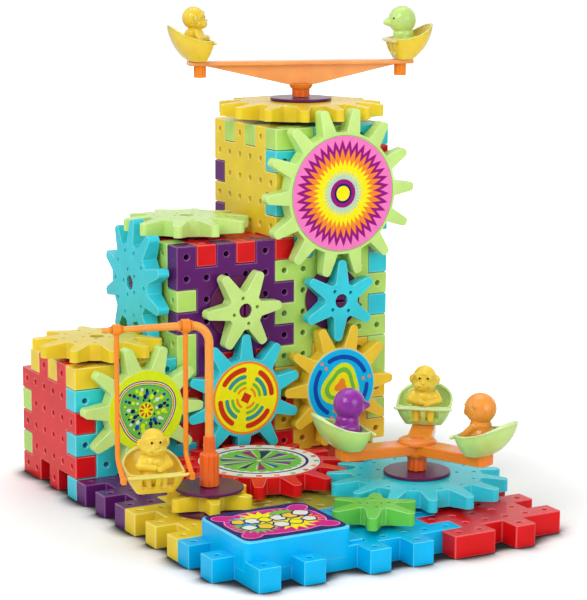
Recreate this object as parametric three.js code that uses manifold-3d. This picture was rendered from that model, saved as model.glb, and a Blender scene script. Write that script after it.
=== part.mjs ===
// Motor-driven toy: towers of interlocking panels, fourteen meshing gears and three rides
import * as THREE from 'three';
import { mergeVertices } from 'three/addons/utils/BufferGeometryUtils.js';
import Module from 'manifold-3d';

const wasm = await Module();
wasm.setup();

// Driving dimensions in millimetres
const cell = 12.5; // width of a panel's tab, and the spacing of the axle holes
const gap = 0.3; // clearance between pieces that touch
const weldTolerance = 0.0003;
const gearThickness = 9.4;
const axleDiscRadius = 18;
const axleDiscThickness = 1.6;
const axlePadRadius = 10.6; // foot of an axle disc, smaller than two cells across
const stubRadius = 3.6;
const hubPlay = 0.5; // between an axle stub and a gear's hub hole
const topDiscRadius = 18;
const postRadius = 5.2; // socket of each ride on its top disc

// Motor box
const boxWall = 1.6;
const boxHeight = 9.9; // above the panels
const boxCornerRadius = 3.4;
const ledgeWidth = 9;
const ledgeHeight = 1.3;
const floorThickness = 1.4;
const doorPlay = 0.4;
const batteryRadius = 7.25;
const batteryLength = 50.5;
const batterySides = ['front', 'back'];
const motorWidth = 14.9;
const motorHeight = 12;
const motorLength = 16.5;
const gearboxHeight = 7.4;
const gearboxReach = 10; // in front of the drive shaft
const driveShaftRadius = 3.7;
const switchTravel = 4;
const switchLength = 5;
const switchHeight = 3;
const switchStand = 2;
const switchPlate = 1;

// Swing
const swingHeight = 87.5; // arm's centre above the bottom of the disc
const poleRadius = 2.25;
const socketHeight = 17.2; // wide foot of the pole, and a narrower neck on it
const neckHeight = 9.4;
const elbowRadius = 9.6;
const armTipRadius = 1.3; // the arm tapers to it from the pole's radius
const armOverhang = 7.7; // tip beyond the outer rod
const rodRadius = 1.3;
const elbowToRod = 3; // from the elbow's end to the inner rod
const earToRod = 1.9; // from a seat's ear to the rod's middle
const ringWall = 1;
const ringPlay = 0.4;
const ringWidth = 4.4;
const rodDrop = 68; // straight part of a rod
const footReach = 14.4; // forward of the arm, to the seat's ears
const footHeight = 4;
const swingSeatLift = 2.8; // the seat's bottom above the gear's top
const neckWall = 0.8;

// Seats
const rideSeat = { length: 28.2, width: 31, lip: 10.6, tip: 19.2, wall: 1.5, ear: 0.7 };
const seesawSeat = { length: 25.6, width: 28, lip: 11.4, tip: 20.4, wall: 1.5, ear: 0.7 };
const barHeight = 1.7;
const barStandout = 0.6; // the lap bar before the shell
const windowSill = 2.4; // leg holes above the seat's bottom
const windowPost = 2.4; // upright between the leg holes
const riderHeight = 31.8;
const seesawRiderHeight = 30.2;

// Carousel
const armLevel = 9.5; // underside of the arms above the top disc
const armThickness = 5.9;
const armWidth = 13.4;
const armLength = 46;
const collarRadius = 10.6;
const collarHeight = 2.1;
const collarTopRadius = 6.4;
const seatReach = 31.5; // hub to the lip of a carousel seat

// Seesaw
const beamLength = 134;
const beamWidth = 11.5;
const flangeThickness = 2.4;
const webThickness = 4.4;
const webDepth = 11.4;
const webFoot = 17;
const beamPostHeight = 7.4;
const endTubeRadius = 3.6;
const endTubeLength = 7;
const endTubeInset = 7.2;
const seesawSeatInset = 14; // lip of a seat before the beam's end

// The frame's origin is under the middle of the base, given in cells from the grid's corner
const originShares = [8, 8];

// Cells from a panel to the next one, and those of them that are tabs along a side
const panelCellCount = 5;
const tabSteps = [1, 3];

// Two middle gears mesh one panel apart, so the panel sets the pitch of all gears
const middleTeeth = 10;

// Tooth form as shares of a cell; the pitch radius is for one tooth
const toothShares = {
  pitchRadius: panelCellCount / 2 / middleTeeth, tip: 0.4, root: 0.705, rootWidth: 0.685, rootCrowding: 0.96,
  tipWidth: 0.435, shoulder: 0.7, crown: 0.4, thinning: 0.26, crownThinning: 0.286,
};

// A panel's core in cells, where the foot of an axle disc may stand
const padShares = [2, 4];

// Walls of the motor unit in cells from its corner
const boxShares = { low: 1, boxRight: 5.75, right: 10, back: 5 };

// Directions that a panel's face or a gear's face looks in: across, upwards and outwards
const faces = {
  top: [[1, 0, 0], [0, 1, 0], [0, 0, 1]],
  front: [[1, 0, 0], [0, 0, 1], [0, -1, 0]],
  left: [[0, -1, 0], [0, 0, 1], [-1, 0, 0]],
  right: [[0, 1, 0], [0, 0, 1], [1, 0, 0]],
  back: [[-1, 0, 0], [0, 0, 1], [0, 1, 0]],
};

const colours = {
  red: 0xd81f26, purple: 0x5b2a86, teal: 0x2fc1c6, lime: 0xa6dc6c, yellow: 0xf2cf3f, amber: 0xdba62c,
  blue: 0x12b2f0, orange: 0xff8420, green: 0x5fc940, plum: 0x73296b, olive: 0xa8b040, maroon: 0x7c1f2b,
  black: 0x26262a, steel: 0x9a9ea3, white: 0xf2f2ee,
};

// Panels: face, place of the lower left cell in cells, filled corner, colour, and joined neighbours with
// their shift in panels
const panelShares = {
  base_yellow: { face: 'top', at: [0, 5, 1], corners: ['lowLeft'], colour: 'yellow' },
  base_purple: { face: 'top', at: [0, 10, 1], corners: ['lowLeft'], colour: 'purple' },
  base_red: { face: 'top', at: [10, 0, 1], corners: ['lowLeft'], colour: 'red' },
  base_olive: { face: 'top', at: [5, 5, 1], corners: ['highLeft'], colour: 'olive' },
  base_lime: { face: 'top', at: [5, 10, 1], corners: ['lowRight'], colour: 'lime' },
  base_maroon: {
    face: 'top', at: [10, 5, 1], corners: ['lowRight'], colour: 'maroon',
    joined: [{ shift: [0, 1], corners: ['lowRight'] }],
  },
  front_teal_low: { face: 'front', at: [0, 15, 0], corners: ['lowLeft'], colour: 'teal' },
  front_red_low: { face: 'front', at: [5, 15, 0], corners: ['lowLeft'], colour: 'red' },
  front_amber_low: { face: 'front', at: [10, 15, 0], corners: ['lowLeft'], colour: 'amber' },
  front_purple_mid: { face: 'front', at: [5, 15, 5], corners: ['highLeft'], colour: 'purple' },
  front_lime_mid: { face: 'front', at: [10, 15, 5], corners: ['lowLeft'], colour: 'lime' },
  front_teal_high: { face: 'front', at: [10, 15, 10], corners: ['highRight'], colour: 'teal' },
  left_red_low: { face: 'left', at: [0, 21, 0], corners: ['lowLeft'], colour: 'red' },
  left_lime_mid: { face: 'left', at: [5, 21, 5], corners: ['lowRight'], colour: 'lime' },
  left_yellow_high: { face: 'left', at: [10, 21, 10], corners: ['highLeft'], colour: 'yellow' },
  top_yellow_low: { face: 'top', at: [0, 15, 6], corners: ['lowLeft'], colour: 'yellow' },
  top_red_mid: { face: 'top', at: [5, 15, 11], corners: ['lowRight'], colour: 'red' },
  top_lime_high: { face: 'top', at: [10, 15, 16], corners: ['lowLeft'], colour: 'lime' },
  right_wall: {
    face: 'right', at: [16, 15, 0], corners: ['highLeft'], colour: 'lime',
    joined: [{ shift: [0, 1], corners: [] }, { shift: [0, 2], corners: [] }],
  },
  back_wall: {
    face: 'back', at: [16, 21, 0], corners: ['highRight'], colour: 'purple',
    joined: [
      { shift: [1, 0], corners: [] }, { shift: [2, 0], corners: [] }, { shift: [0, 1], corners: [] },
      { shift: [1, 1], corners: [] }, { shift: [0, 2], corners: [] },
    ],
  },
};

// Gears: teeth, face, centre in cells, rest angle in tooth pitches, colour, and the panel with the axle
const gearShares = {
  gear_lime_low: {
    teeth: middleTeeth, face: 'front', at: [3, 15, 4], turn: 0.945, colour: 'lime', on: 'front_teal_low',
  },
  gear_teal_low: {
    teeth: middleTeeth, face: 'front', at: [8, 15, 4], turn: 0.45, colour: 'teal', on: 'front_red_low',
  },
  gear_amber_low: {
    teeth: middleTeeth, face: 'front', at: [13, 15, 4], turn: 0.05, colour: 'amber', on: 'front_amber_low',
  },
  gear_lime_star: {
    teeth: 6, face: 'front', at: [8, 15, 8], turn: 0.05, colour: 'lime', on: 'front_purple_mid',
  },
  gear_teal_star: {
    teeth: 6, face: 'front', at: [13, 15, 8], turn: 0.45, colour: 'teal', on: 'front_lime_mid',
  },
  gear_lime_large: {
    teeth: 14, face: 'front', at: [13, 15, 13], turn: 0.05, colour: 'lime', on: 'front_teal_high',
  },
  gear_yellow_top: {
    teeth: 14, face: 'top', at: [13, 18, 16], turn: 0.45, colour: 'yellow', on: 'top_lime_high',
  },
  gear_lime_top: {
    teeth: middleTeeth, face: 'top', at: [7, 18, 11], turn: 0.534, colour: 'lime', on: 'top_red_mid',
  },
  gear_teal_side: {
    teeth: middleTeeth, face: 'left', at: [5, 18, 9], turn: 0.466, colour: 'teal', on: 'left_lime_mid',
  },
  gear_yellow_low: {
    teeth: middleTeeth, face: 'top', at: [2, 17, 6], turn: 0.232, colour: 'yellow', on: 'top_yellow_low',
  },
  gear_red_flat: {
    teeth: 14, face: 'top', at: [7, 11, 1], turn: 0.382, colour: 'red', on: 'base_lime',
  },
  gear_teal_flat: {
    teeth: 14, face: 'top', at: [12, 6, 1], turn: 0.618, colour: 'teal', on: 'base_maroon',
  },
  gear_green_drive: {
    teeth: 6, face: 'top', at: [8, 3, 1], turn: 0.934, colour: 'green', on: null,
  },
  gear_yellow_swing: {
    teeth: 6, face: 'top', at: [3, 8, 1], turn: 0.17, colour: 'yellow', on: 'base_yellow',
  },
};

// Directions of the rides about their gears, in degrees
const swingTurn = 168;
const carouselTurn = 52;
const carouselSeats = 3;
const beamTurn = -17;
const quarterTurn = 90;
const fullTurn = 360;

const discSides = 16;
const roundSides = 12;
const thinSides = 8;
const cornerSegments = 3;
const elbowSteps = 5;
const seatPoints = 18;
const bigBall = [8, 6]; // facets round and down a rider's head and body
const smallBall = [6, 4];
const plasticRoughness = 0.32;
const steelMetalness = 0.6;

const toy = new THREE.Group();

// Solids

function solidOf(geometry) {
  const bare = geometry.clone();
  bare.deleteAttribute('normal');
  bare.deleteAttribute('uv');
  const merged = mergeVertices(bare, weldTolerance);
  return new wasm.Manifold(new wasm.Mesh({
    numProp: 3,
    vertProperties: new Float32Array(merged.attributes.position.array),
    triVerts: new Uint32Array(merged.index.array),
  }));
}

function geometryOf(solid) {
  const mesh = solid.getMesh();
  const geometry = new THREE.BufferGeometry();
  const places = new Float32Array(mesh.vertProperties);
  geometry.setAttribute('position', new THREE.BufferAttribute(places, mesh.numProp));
  geometry.setIndex(Array.from(mesh.triVerts));
  return geometry;
}

function joinAll(solids) {
  return solids.reduce((whole, solid) => whole.add(solid));
}

function moved(geometry, x, y, z) {
  return geometry.translate(x, y, z);
}

// Box between two corners
function block(x0, x1, y0, y1, z0, z1) {
  const geometry = new THREE.BoxGeometry(x1 - x0, y1 - y0, z1 - z0);
  return solidOf(moved(geometry, (x0 + x1) / 2, (y0 + y1) / 2, (z0 + z1) / 2));
}

// Upright cylinder or cone from z0 to z1
function drum(x, y, z0, z1, radius, sides = roundSides, topRadius = radius) {
  const geometry = new THREE.CylinderGeometry(topRadius, radius, z1 - z0, sides).rotateX(Math.PI / 2);
  return solidOf(moved(geometry, x, y, (z0 + z1) / 2));
}

// Bar of round section between two points
function bar(from, to, radius, sides = thinSides) {
  const start = new THREE.Vector3(...from);
  const span = new THREE.Vector3(...to).sub(start);
  const geometry = new THREE.CylinderGeometry(radius, radius, span.length(), sides);
  const along = span.clone().normalize();
  const turn = new THREE.Quaternion().setFromUnitVectors(new THREE.Vector3(0, 1, 0), along);
  const middle = start.addScaledVector(span, 0.5);
  return solidOf(geometry.applyQuaternion(turn).translate(middle.x, middle.y, middle.z));
}

// Profile in the XZ plane, pulled along Y about its middle
function slab(points, depth) {
  const shape = new THREE.Shape(points.map(([x, z]) => new THREE.Vector2(x, z)));
  const geometry = new THREE.ExtrudeGeometry(shape, { depth, bevelEnabled: false });
  return solidOf(geometry.translate(0, 0, -depth / 2).rotateX(Math.PI / 2));
}

// Closed solid of revolution about Z, from a profile of radius and height
function turned(profile, sides) {
  const points = profile.map(([radius, height]) => new THREE.Vector2(radius, height));
  return solidOf(new THREE.LatheGeometry(points, sides).rotateX(Math.PI / 2));
}

function addPiece(parent, name, geometry, colour, metalness = 0) {
  const material = new THREE.MeshStandardMaterial({
    color: colours[colour], roughness: plasticRoughness, metalness,
  });
  const mesh = new THREE.Mesh(geometry, material);
  mesh.name = name;
  parent.add(mesh);
  return mesh;
}

// Group that stands on a face of the grid, with its Z axis pointing outwards
function standOn(face, at, parent = toy) {
  const group = new THREE.Group();
  const axes = faces[face].map((axis) => new THREE.Vector3(...axis));
  const turn = new THREE.Matrix4().makeBasis(...axes);
  group.quaternion.setFromRotationMatrix(turn);
  const [originX, originY] = originShares;
  group.position.set((at[0] - originX) * cell, (at[1] - originY) * cell, at[2] * cell - gap / 2);
  parent.add(group);
  return group;
}

// Panels

// Cells of a plate so many panels wide: a core of whole cells, a ring of tabs and some filled corners
function plateCells(corners, wide = 1, shift = [0, 0]) {
  const pitch = panelCellCount;
  const far = pitch * wide;
  const cells = [];
  for (let column = 1; column < far; column += 1) {
    for (let row = 1; row < pitch; row += 1) cells.push([column, row]);
  }
  for (let panel = 0; panel < wide; panel += 1) {
    for (const step of tabSteps) {
      cells.push([panel * pitch + step, 0]);
      cells.push([far - panel * pitch - step, pitch]);
    }
  }
  for (const step of tabSteps) {
    cells.push([far, step]);
    cells.push([0, pitch - step]);
  }
  const cornerCells = { lowLeft: [0, 0], lowRight: [far, 0], highLeft: [0, pitch], highRight: [far, pitch] };
  for (const corner of corners) cells.push(cornerCells[corner]);
  return cells.map(([column, row]) => [column + shift[0] * pitch, row + shift[1] * pitch]);
}

// Outline round a set of cells, drawn in by half the gap
function plateOutline(cells) {
  const filled = new Set(cells.map(String));
  const has = (column, row) => filled.has(String([column, row]));
  const steps = new Map();
  for (const [column, row] of cells) {
    if (!has(column, row - 1)) steps.set(String([column, row]), [column + 1, row]);
    if (!has(column + 1, row)) steps.set(String([column + 1, row]), [column + 1, row + 1]);
    if (!has(column, row + 1)) steps.set(String([column + 1, row + 1]), [column, row + 1]);
    if (!has(column - 1, row)) steps.set(String([column, row + 1]), [column, row]);
  }
  const first = [...steps.keys()][0].split(',').map(Number);
  const corners = [];
  let here = first;
  do {
    corners.push(here);
    here = steps.get(String(here));
  } while (String(here) !== String(first));
  if (corners.length !== steps.size) throw new Error('a plate has a hole or two outlines');
  const points = [];
  corners.forEach((corner, index) => {
    const before = corners[(index + corners.length - 1) % corners.length];
    const after = corners[(index + 1) % corners.length];
    const into = [corner[0] - before[0], corner[1] - before[1]];
    const out = [after[0] - corner[0], after[1] - corner[1]];
    if (into[0] === out[0] && into[1] === out[1]) return;
    const inset = gap / 2;
    points.push(new THREE.Vector2(
      corner[0] * cell - (into[1] + out[1]) * inset,
      corner[1] * cell + (into[0] + out[0]) * inset,
    ));
  });
  return points;
}

// Plate below its outer face, which lies at z = 0 less half the gap
function plateGeometry(cells) {
  const shape = new THREE.Shape(plateOutline(cells));
  const geometry = new THREE.ExtrudeGeometry(shape, { depth: cell - gap, bevelEnabled: false });
  return moved(geometry, 0, 0, gap / 2 - cell);
}

// Disc and stub that a gear turns on; its foot stands on the core of the panel that carries it
function axleSolid(x, y) {
  const face = -gap / 2;
  const disc = face + gap;
  const stubTop = disc + axleDiscThickness + gearThickness;
  const profile = [
    [0, disc], [axleDiscRadius, disc], [axleDiscRadius, disc + axleDiscThickness],
    [stubRadius, disc + axleDiscThickness], [stubRadius, stubTop], [0, stubTop],
  ];
  const ownCore = (value) => Math.min(Math.max(value, padShares[0] * cell), padShares[1] * cell);
  const pad = drum(ownCore(x), ownCore(y), face - gap, disc + gap, axlePadRadius, thinSides);
  return turned(profile, discSides).translate([x, y, 0]).add(pad);
}

// Centre of a gear in the panel's own across and upward directions
function axlePlace(panel, gear) {
  const [across, upward] = faces[panel.face];
  const offset = gear.at.map((value, axis) => (value - panel.at[axis]) * cell);
  const along = (direction) => offset.reduce((sum, value, axis) => sum + value * direction[axis], 0);
  return [along(across), along(upward)];
}

function addPanels() {
  for (const [name, panel] of Object.entries(panelShares)) {
    const cells = plateCells(panel.corners);
    for (const { shift, corners } of panel.joined ?? []) cells.push(...plateCells(corners, 1, shift));
    let geometry = plateGeometry(cells);
    const gear = Object.values(gearShares).find((entry) => entry.on === name);
    if (gear) geometry = geometryOf(solidOf(geometry).add(axleSolid(...axlePlace(panel, gear))));
    addPiece(standOn(panel.face, panel.at), name, geometry, panel.colour);
  }
}

// Gears

const gearFoot = gap / 2 + axleDiscThickness + gap; // underside of a gear above the grid's face
const gearHead = gearFoot + gearThickness;

// Fingered gear: rows across each tooth from its root to its tip, thinner towards the tip
function gearGeometry(teeth) {
  const pitchRadius = teeth * toothShares.pitchRadius * cell;
  const tipRadius = pitchRadius + toothShares.tip * cell;
  const rootRadius = pitchRadius - toothShares.root * cell;
  const tipHalf = (toothShares.tipWidth * cell) / 2;
  const crowded = rootRadius * Math.sin(Math.PI / teeth) * toothShares.rootCrowding;
  const rootHalf = Math.min((toothShares.rootWidth * cell) / 2, crowded);
  const middle = gearFoot + gearThickness / 2;
  const hubRadius = stubRadius + hubPlay;
  const rows = [
    { radius: rootRadius, half: rootHalf, thick: 1 },
    { radius: tipRadius - tipHalf * toothShares.shoulder, half: tipHalf, thick: 1 - toothShares.thinning },
    { radius: tipRadius, half: tipHalf * toothShares.crown, thick: 1 - toothShares.crownThinning },
  ];
  const points = [];
  for (let tooth = 0; tooth < teeth; tooth += 1) {
    const angle = (2 * Math.PI * tooth) / teeth;
    const [c, s] = [Math.cos(angle), Math.sin(angle)];
    for (const { radius, half, thick } of rows) {
      for (const side of [-1, 1]) {
        for (const level of [-1, 1]) {
          const height = middle + (level * thick * gearThickness) / 2;
          points.push(radius * c - side * half * s, radius * s + side * half * c, height);
        }
      }
    }
  }
  const hubStart = points.length / 3;
  for (let half = 0; half < teeth * 2; half += 1) {
    const angle = (Math.PI * (half - 0.5)) / teeth;
    const [hubX, hubY] = [hubRadius * Math.cos(angle), hubRadius * Math.sin(angle)];
    for (const level of [-1, 1]) points.push(hubX, hubY, middle + (level * gearThickness) / 2);
  }
  const at = (tooth, row, side, level) => (((tooth % teeth) * rows.length + row) * 2 + side) * 2 + level;
  const hub = (half, level) => hubStart + (half % (teeth * 2)) * 2 + level;
  const index = [];
  const quad = (a, b, c, d) => index.push(a, b, c, a, c, d);
  const last = rows.length - 1;
  for (let tooth = 0; tooth < teeth; tooth += 1) {
    const next = tooth + 1;
    for (let row = 0; row < last; row += 1) {
      quad(at(tooth, row, 0, 1), at(tooth, row + 1, 0, 1), at(tooth, row + 1, 1, 1), at(tooth, row, 1, 1));
      quad(at(tooth, row, 1, 0), at(tooth, row + 1, 1, 0), at(tooth, row + 1, 0, 0), at(tooth, row, 0, 0));
      quad(at(tooth, row, 0, 0), at(tooth, row + 1, 0, 0), at(tooth, row + 1, 0, 1), at(tooth, row, 0, 1));
      quad(at(tooth, row, 1, 1), at(tooth, row + 1, 1, 1), at(tooth, row + 1, 1, 0), at(tooth, row, 1, 0));
    }
    quad(at(tooth, last, 0, 0), at(tooth, last, 1, 0), at(tooth, last, 1, 1), at(tooth, last, 0, 1));
    quad(at(tooth, 0, 1, 0), at(next, 0, 0, 0), at(next, 0, 0, 1), at(tooth, 0, 1, 1));
    const [before, after, beyond] = [tooth * 2, tooth * 2 + 1, tooth * 2 + 2];
    quad(hub(before, 1), at(tooth, 0, 0, 1), at(tooth, 0, 1, 1), hub(after, 1));
    quad(hub(after, 1), at(tooth, 0, 1, 1), at(next, 0, 0, 1), hub(beyond, 1));
    quad(hub(before, 0), hub(after, 0), at(tooth, 0, 1, 0), at(tooth, 0, 0, 0));
    quad(hub(after, 0), hub(beyond, 0), at(next, 0, 0, 0), at(tooth, 0, 1, 0));
    quad(hub(before, 0), hub(before, 1), hub(after, 1), hub(after, 0));
    quad(hub(after, 0), hub(after, 1), hub(beyond, 1), hub(beyond, 0));
  }
  const geometry = new THREE.BufferGeometry();
  geometry.setAttribute('position', new THREE.BufferAttribute(new Float32Array(points), 3));
  geometry.setIndex(index);
  return geometry;
}

function addGears() {
  for (const [name, gear] of Object.entries(gearShares)) {
    const mesh = addPiece(standOn(gear.face, gear.at), name, gearGeometry(gear.teeth), gear.colour);
    mesh.rotation.z = (2 * Math.PI * gear.turn) / gear.teeth;
  }
}

// Motor unit: a plate two panels wide with a raised box, open below

function addMotorUnit() {
  const unit = standOn('top', [0, 0, 1]);
  const half = gap / 2;
  const coreLow = boxShares.low * cell;
  const boxRight = boxShares.boxRight * cell;
  const coreRight = boxShares.right * cell;
  const coreBack = boxShares.back * cell;
  const underside = half - cell;
  const inner = {
    left: coreLow + boxWall, right: boxRight - boxWall, front: coreLow + boxWall, back: coreBack - boxWall,
    far: coreRight - boxWall,
  };

  const rounded = new THREE.Shape();
  const corner = boxCornerRadius;
  rounded.moveTo(coreLow + corner, coreLow);
  rounded.lineTo(boxRight - corner, coreLow);
  rounded.absarc(boxRight - corner, coreLow + corner, corner, -Math.PI / 2, 0);
  rounded.lineTo(boxRight, coreBack - corner);
  rounded.absarc(boxRight - corner, coreBack - corner, corner, 0, Math.PI / 2);
  rounded.lineTo(coreLow + corner, coreBack);
  rounded.absarc(coreLow + corner, coreBack - corner, corner, Math.PI / 2, Math.PI);
  rounded.lineTo(coreLow, coreLow + corner);
  rounded.absarc(coreLow + corner, coreLow + corner, corner, Math.PI, -Math.PI / 2);
  const boxShape = new THREE.ExtrudeGeometry(rounded, {
    depth: boxHeight + cell / 2, bevelEnabled: false, curveSegments: cornerSegments,
  });
  const raised = solidOf(moved(boxShape, 0, 0, -cell / 2));
  const ledge = block(
    boxRight - boxWall, boxRight + ledgeWidth, coreLow + corner, coreBack - corner, -cell / 2, ledgeHeight,
  );
  const plate = solidOf(plateGeometry(plateCells([], 2)));
  const wellUnderBox = block(
    inner.left, inner.right, inner.front, inner.back, underside - gap, boxHeight - boxWall,
  );
  const wellBeside = block(
    inner.right - boxWall, inner.far, inner.front, inner.back, underside - gap, -half - boxWall,
  );
  const shaftX = gearShares.gear_green_drive.at[0] * cell;
  const shaftY = gearShares.gear_green_drive.at[1] * cell;
  const shaftHole = drum(shaftX, shaftY, -cell / 2, cell / 2, driveShaftRadius + gap);

  const switchX = (coreLow + boxRight) / 2;
  const switchZ = boxHeight / 2;
  const slotHalf = (switchLength + switchTravel) / 2 + gap;
  const slot = block(
    switchX - slotHalf, switchX + slotHalf, inner.back - gap, coreBack + gap,
    switchZ - switchHeight / 2 - gap, switchZ + switchHeight / 2 + gap,
  );
  const housing = joinAll([plate, raised, ledge]).subtract(wellUnderBox).subtract(wellBeside)
    .subtract(shaftHole).subtract(slot);
  addPiece(unit, 'motor_housing', geometryOf(housing), 'blue');

  // Floor that closes the housing, with a way in to the batteries
  const floorLow = underside + gap;
  const floorHigh = floorLow + floorThickness;
  const cellsFront = inner.front + gap;
  const cellsBack = cellsFront + gap + batterySides.length * (batteryRadius * 2 + gap);
  const cellsRight = inner.left + gap + batteryLength + gap + gap;
  const plateFloor = block(
    inner.left + gap, inner.far - gap, inner.front + gap, inner.back - gap, floorLow, floorHigh,
  );
  const doorway = block(
    inner.left + boxWall, cellsRight - boxWall, cellsFront + boxWall, cellsBack - boxWall,
    floorLow - gap, floorHigh + gap,
  );
  addPiece(unit, 'motor_floor', geometryOf(plateFloor.subtract(doorway)), 'blue');
  const door = block(
    inner.left + boxWall + doorPlay, cellsRight - boxWall - doorPlay,
    cellsFront + boxWall + doorPlay, cellsBack - boxWall - doorPlay, floorLow, floorHigh,
  );
  addPiece(unit, 'battery_door', geometryOf(door), 'blue');

  const batteryZ = floorHigh + gap + batteryRadius;
  batterySides.forEach((side, place) => {
    const start = inner.left + gap;
    const ends = [[start, 0, batteryZ], [start + batteryLength, 0, batteryZ]];
    const battery = bar(...ends, batteryRadius, roundSides);
    const y = cellsFront + gap + batteryRadius + place * (batteryRadius * 2 + gap);
    addPiece(unit, `battery_${side}`, geometryOf(battery.translate([0, y, 0])), 'green');
  });

  // Motor can beside the batteries, with the reduction box under the drive gear
  const motorLow = floorHigh + gap;
  const motorBack = inner.back - gap - switchPlate - gap;
  const motorFront = motorBack - motorWidth;
  const motorRight = inner.right - gap;
  const gearboxFront = shaftY - gearboxReach;
  const can = block(
    motorRight - motorLength, motorRight, motorFront, motorBack, motorLow, motorLow + motorHeight,
  );
  const gearbox = block(
    motorRight - gap, inner.far - gap, gearboxFront, motorBack, motorLow, motorLow + gearboxHeight,
  );
  addPiece(unit, 'gearmotor', geometryOf(can.add(gearbox)), 'steel', steelMetalness);
  const shaft = drum(shaftX, shaftY, motorLow + gearboxHeight + gap, gearHead - gap, driveShaftRadius);
  addPiece(unit, 'drive_shaft', geometryOf(shaft), 'white');

  const plateLeft = switchX - slotHalf;
  const knobLeft = plateLeft + gap;
  const knob = block(
    knobLeft, knobLeft + switchLength, inner.back - gap - switchPlate, coreBack + switchStand,
    switchZ - switchHeight / 2, switchZ + switchHeight / 2,
  );
  const backing = block(
    knobLeft - switchTravel, knobLeft + switchLength + switchTravel,
    inner.back - gap - switchPlate, inner.back - gap, switchZ - switchHeight, switchZ + switchHeight,
  );
  addPiece(unit, 'power_switch', geometryOf(knob.add(backing)), 'black');
}

// Seats and riders

// Flat bottom of a seat in shares of its length and width, and how its sides swell towards the rim
const floorShares = { middle: 0.35, half: 0.2, width: 0.66, window: 0.277 };
const levelShares = [0, 0.35, 1];
const swellPower = 1.6;
const rimPower = 2.4; // rise of the rim towards the back
const squareFront = 0.35; // power of the ring's sine in front, and behind
const roundBack = 0.9;

// Bucket: front at x = 0, bottom at z = 0, back towards +X
function bucketSolid({ length, width, lip, tip }, wall) {
  const points = [];
  const ring = (level, inset) => {
    const spread = 1 - (1 - level) ** swellPower;
    const middle = length * (floorShares.middle + (0.5 - floorShares.middle) * spread);
    const halfLong = length * (floorShares.half + (0.5 - floorShares.half) * spread) - inset;
    const halfWide = (width / 2) * (floorShares.width + (1 - floorShares.width) * spread) - inset;
    for (let step = 0; step < seatPoints; step += 1) {
      const angle = (2 * Math.PI * step) / seatPoints;
      const power = Math.cos(angle) < 0 ? squareFront : roundBack;
      const x = Math.sign(Math.cos(angle)) * Math.abs(Math.cos(angle)) ** power;
      const y = Math.sign(Math.sin(angle)) * Math.abs(Math.sin(angle)) ** power;
      const along = middle + halfLong * x;
      const rim = lip + (tip - lip) * Math.max(0, along / length) ** rimPower;
      points.push(along, halfWide * y, inset * (1 - level) + rim * level);
    }
  };
  levelShares.forEach((level) => ring(level, 0));
  [...levelShares].reverse().forEach((level) => ring(level, wall));
  const rings = levelShares.length * 2;
  const index = [];
  for (let band = 0; band < rings - 1; band += 1) {
    for (let step = 0; step < seatPoints; step += 1) {
      const next = (step + 1) % seatPoints;
      const [a, b] = [band * seatPoints + step, band * seatPoints + next];
      index.push(a, b, b + seatPoints, a, b + seatPoints, a + seatPoints);
    }
  }
  const lastRing = (rings - 1) * seatPoints;
  for (let step = 1; step < seatPoints - 1; step += 1) {
    index.push(0, step + 1, step);
    index.push(lastRing, lastRing + step, lastRing + step + 1);
  }
  const geometry = new THREE.BufferGeometry();
  geometry.setAttribute('position', new THREE.BufferAttribute(new Float32Array(points), 3));
  geometry.setIndex(index);
  return solidOf(geometry);
}

// Seat: a bucket with two leg holes under its lap bar
function seatSolid(seat) {
  const { length, width, lip, wall, ear } = seat;
  const shell = bucketSolid(seat, wall);
  const windowBack = length * (floorShares.middle - floorShares.half);
  const windows = [-1, 1].map((side) => {
    const edges = [(side * windowPost) / 2, side * width * floorShares.window].sort((a, b) => a - b);
    return block(-wall, windowBack, ...edges, windowSill, lip - barHeight);
  });
  const lapBar = block(-barStandout, wall, -width / 2 - ear, width / 2 + ear, lip - barHeight, lip);
  return shell.subtract(windows[0]).subtract(windows[1]).add(lapBar);
}

// Riders as ellipsoids: middle and half sizes in shares of the rider's height, facing -X
const monkeyShares = [
  { at: [0, 0, 0.3], half: [0.22, 0.25, 0.3], fine: true },
  { at: [-0.03, 0, 0.75], half: [0.22, 0.23, 0.25], fine: true },
  { at: [-0.2, 0, 0.67], half: [0.11, 0.14, 0.1] },
  { at: [-0.02, 0.23, 0.75], half: [0.06, 0.06, 0.08] },
  { at: [-0.02, -0.23, 0.75], half: [0.06, 0.06, 0.08] },
  { at: [-0.17, 0.16, 0.4], half: [0.14, 0.14, 0.09] },
  { at: [-0.17, -0.16, 0.4], half: [0.14, 0.14, 0.09] },
  { at: [-0.1, 0.13, 0.12], half: [0.14, 0.1, 0.1] },
  { at: [-0.1, -0.13, 0.12], half: [0.14, 0.1, 0.1] },
];
const chickShares = [
  { at: [0.04, 0, 0.24], half: [0.25, 0.22, 0.24], fine: true },
  { at: [0, 0, 0.7], half: [0.27, 0.26, 0.28], fine: true },
  { at: [-0.29, 0, 0.66], half: [0.12, 0.09, 0.06] },
  { at: [0.04, 0.2, 0.26], half: [0.16, 0.06, 0.11] },
  { at: [0.04, -0.2, 0.26], half: [0.16, 0.06, 0.11] },
  { at: [-0.1, 0.11, 0.08], half: [0.14, 0.08, 0.07] },
  { at: [-0.1, -0.11, 0.08], half: [0.14, 0.08, 0.07] },
];

function riderSolid(shares, height) {
  const balls = shares.map(({ at, half, fine }) => {
    const [around, down] = fine ? bigBall : smallBall;
    const ball = new THREE.SphereGeometry(1, around, down).rotateX(Math.PI / 2);
    ball.scale(...half.map((value) => value * height));
    return solidOf(moved(ball, ...at.map((value) => value * height)));
  });
  return joinAll(balls);
}

// Place of a rider along its seat: a loose one leans to the lap bar, a moulded one sits further back
const sitShares = { loose: 0.3, moulded: 0.38 };

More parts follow.
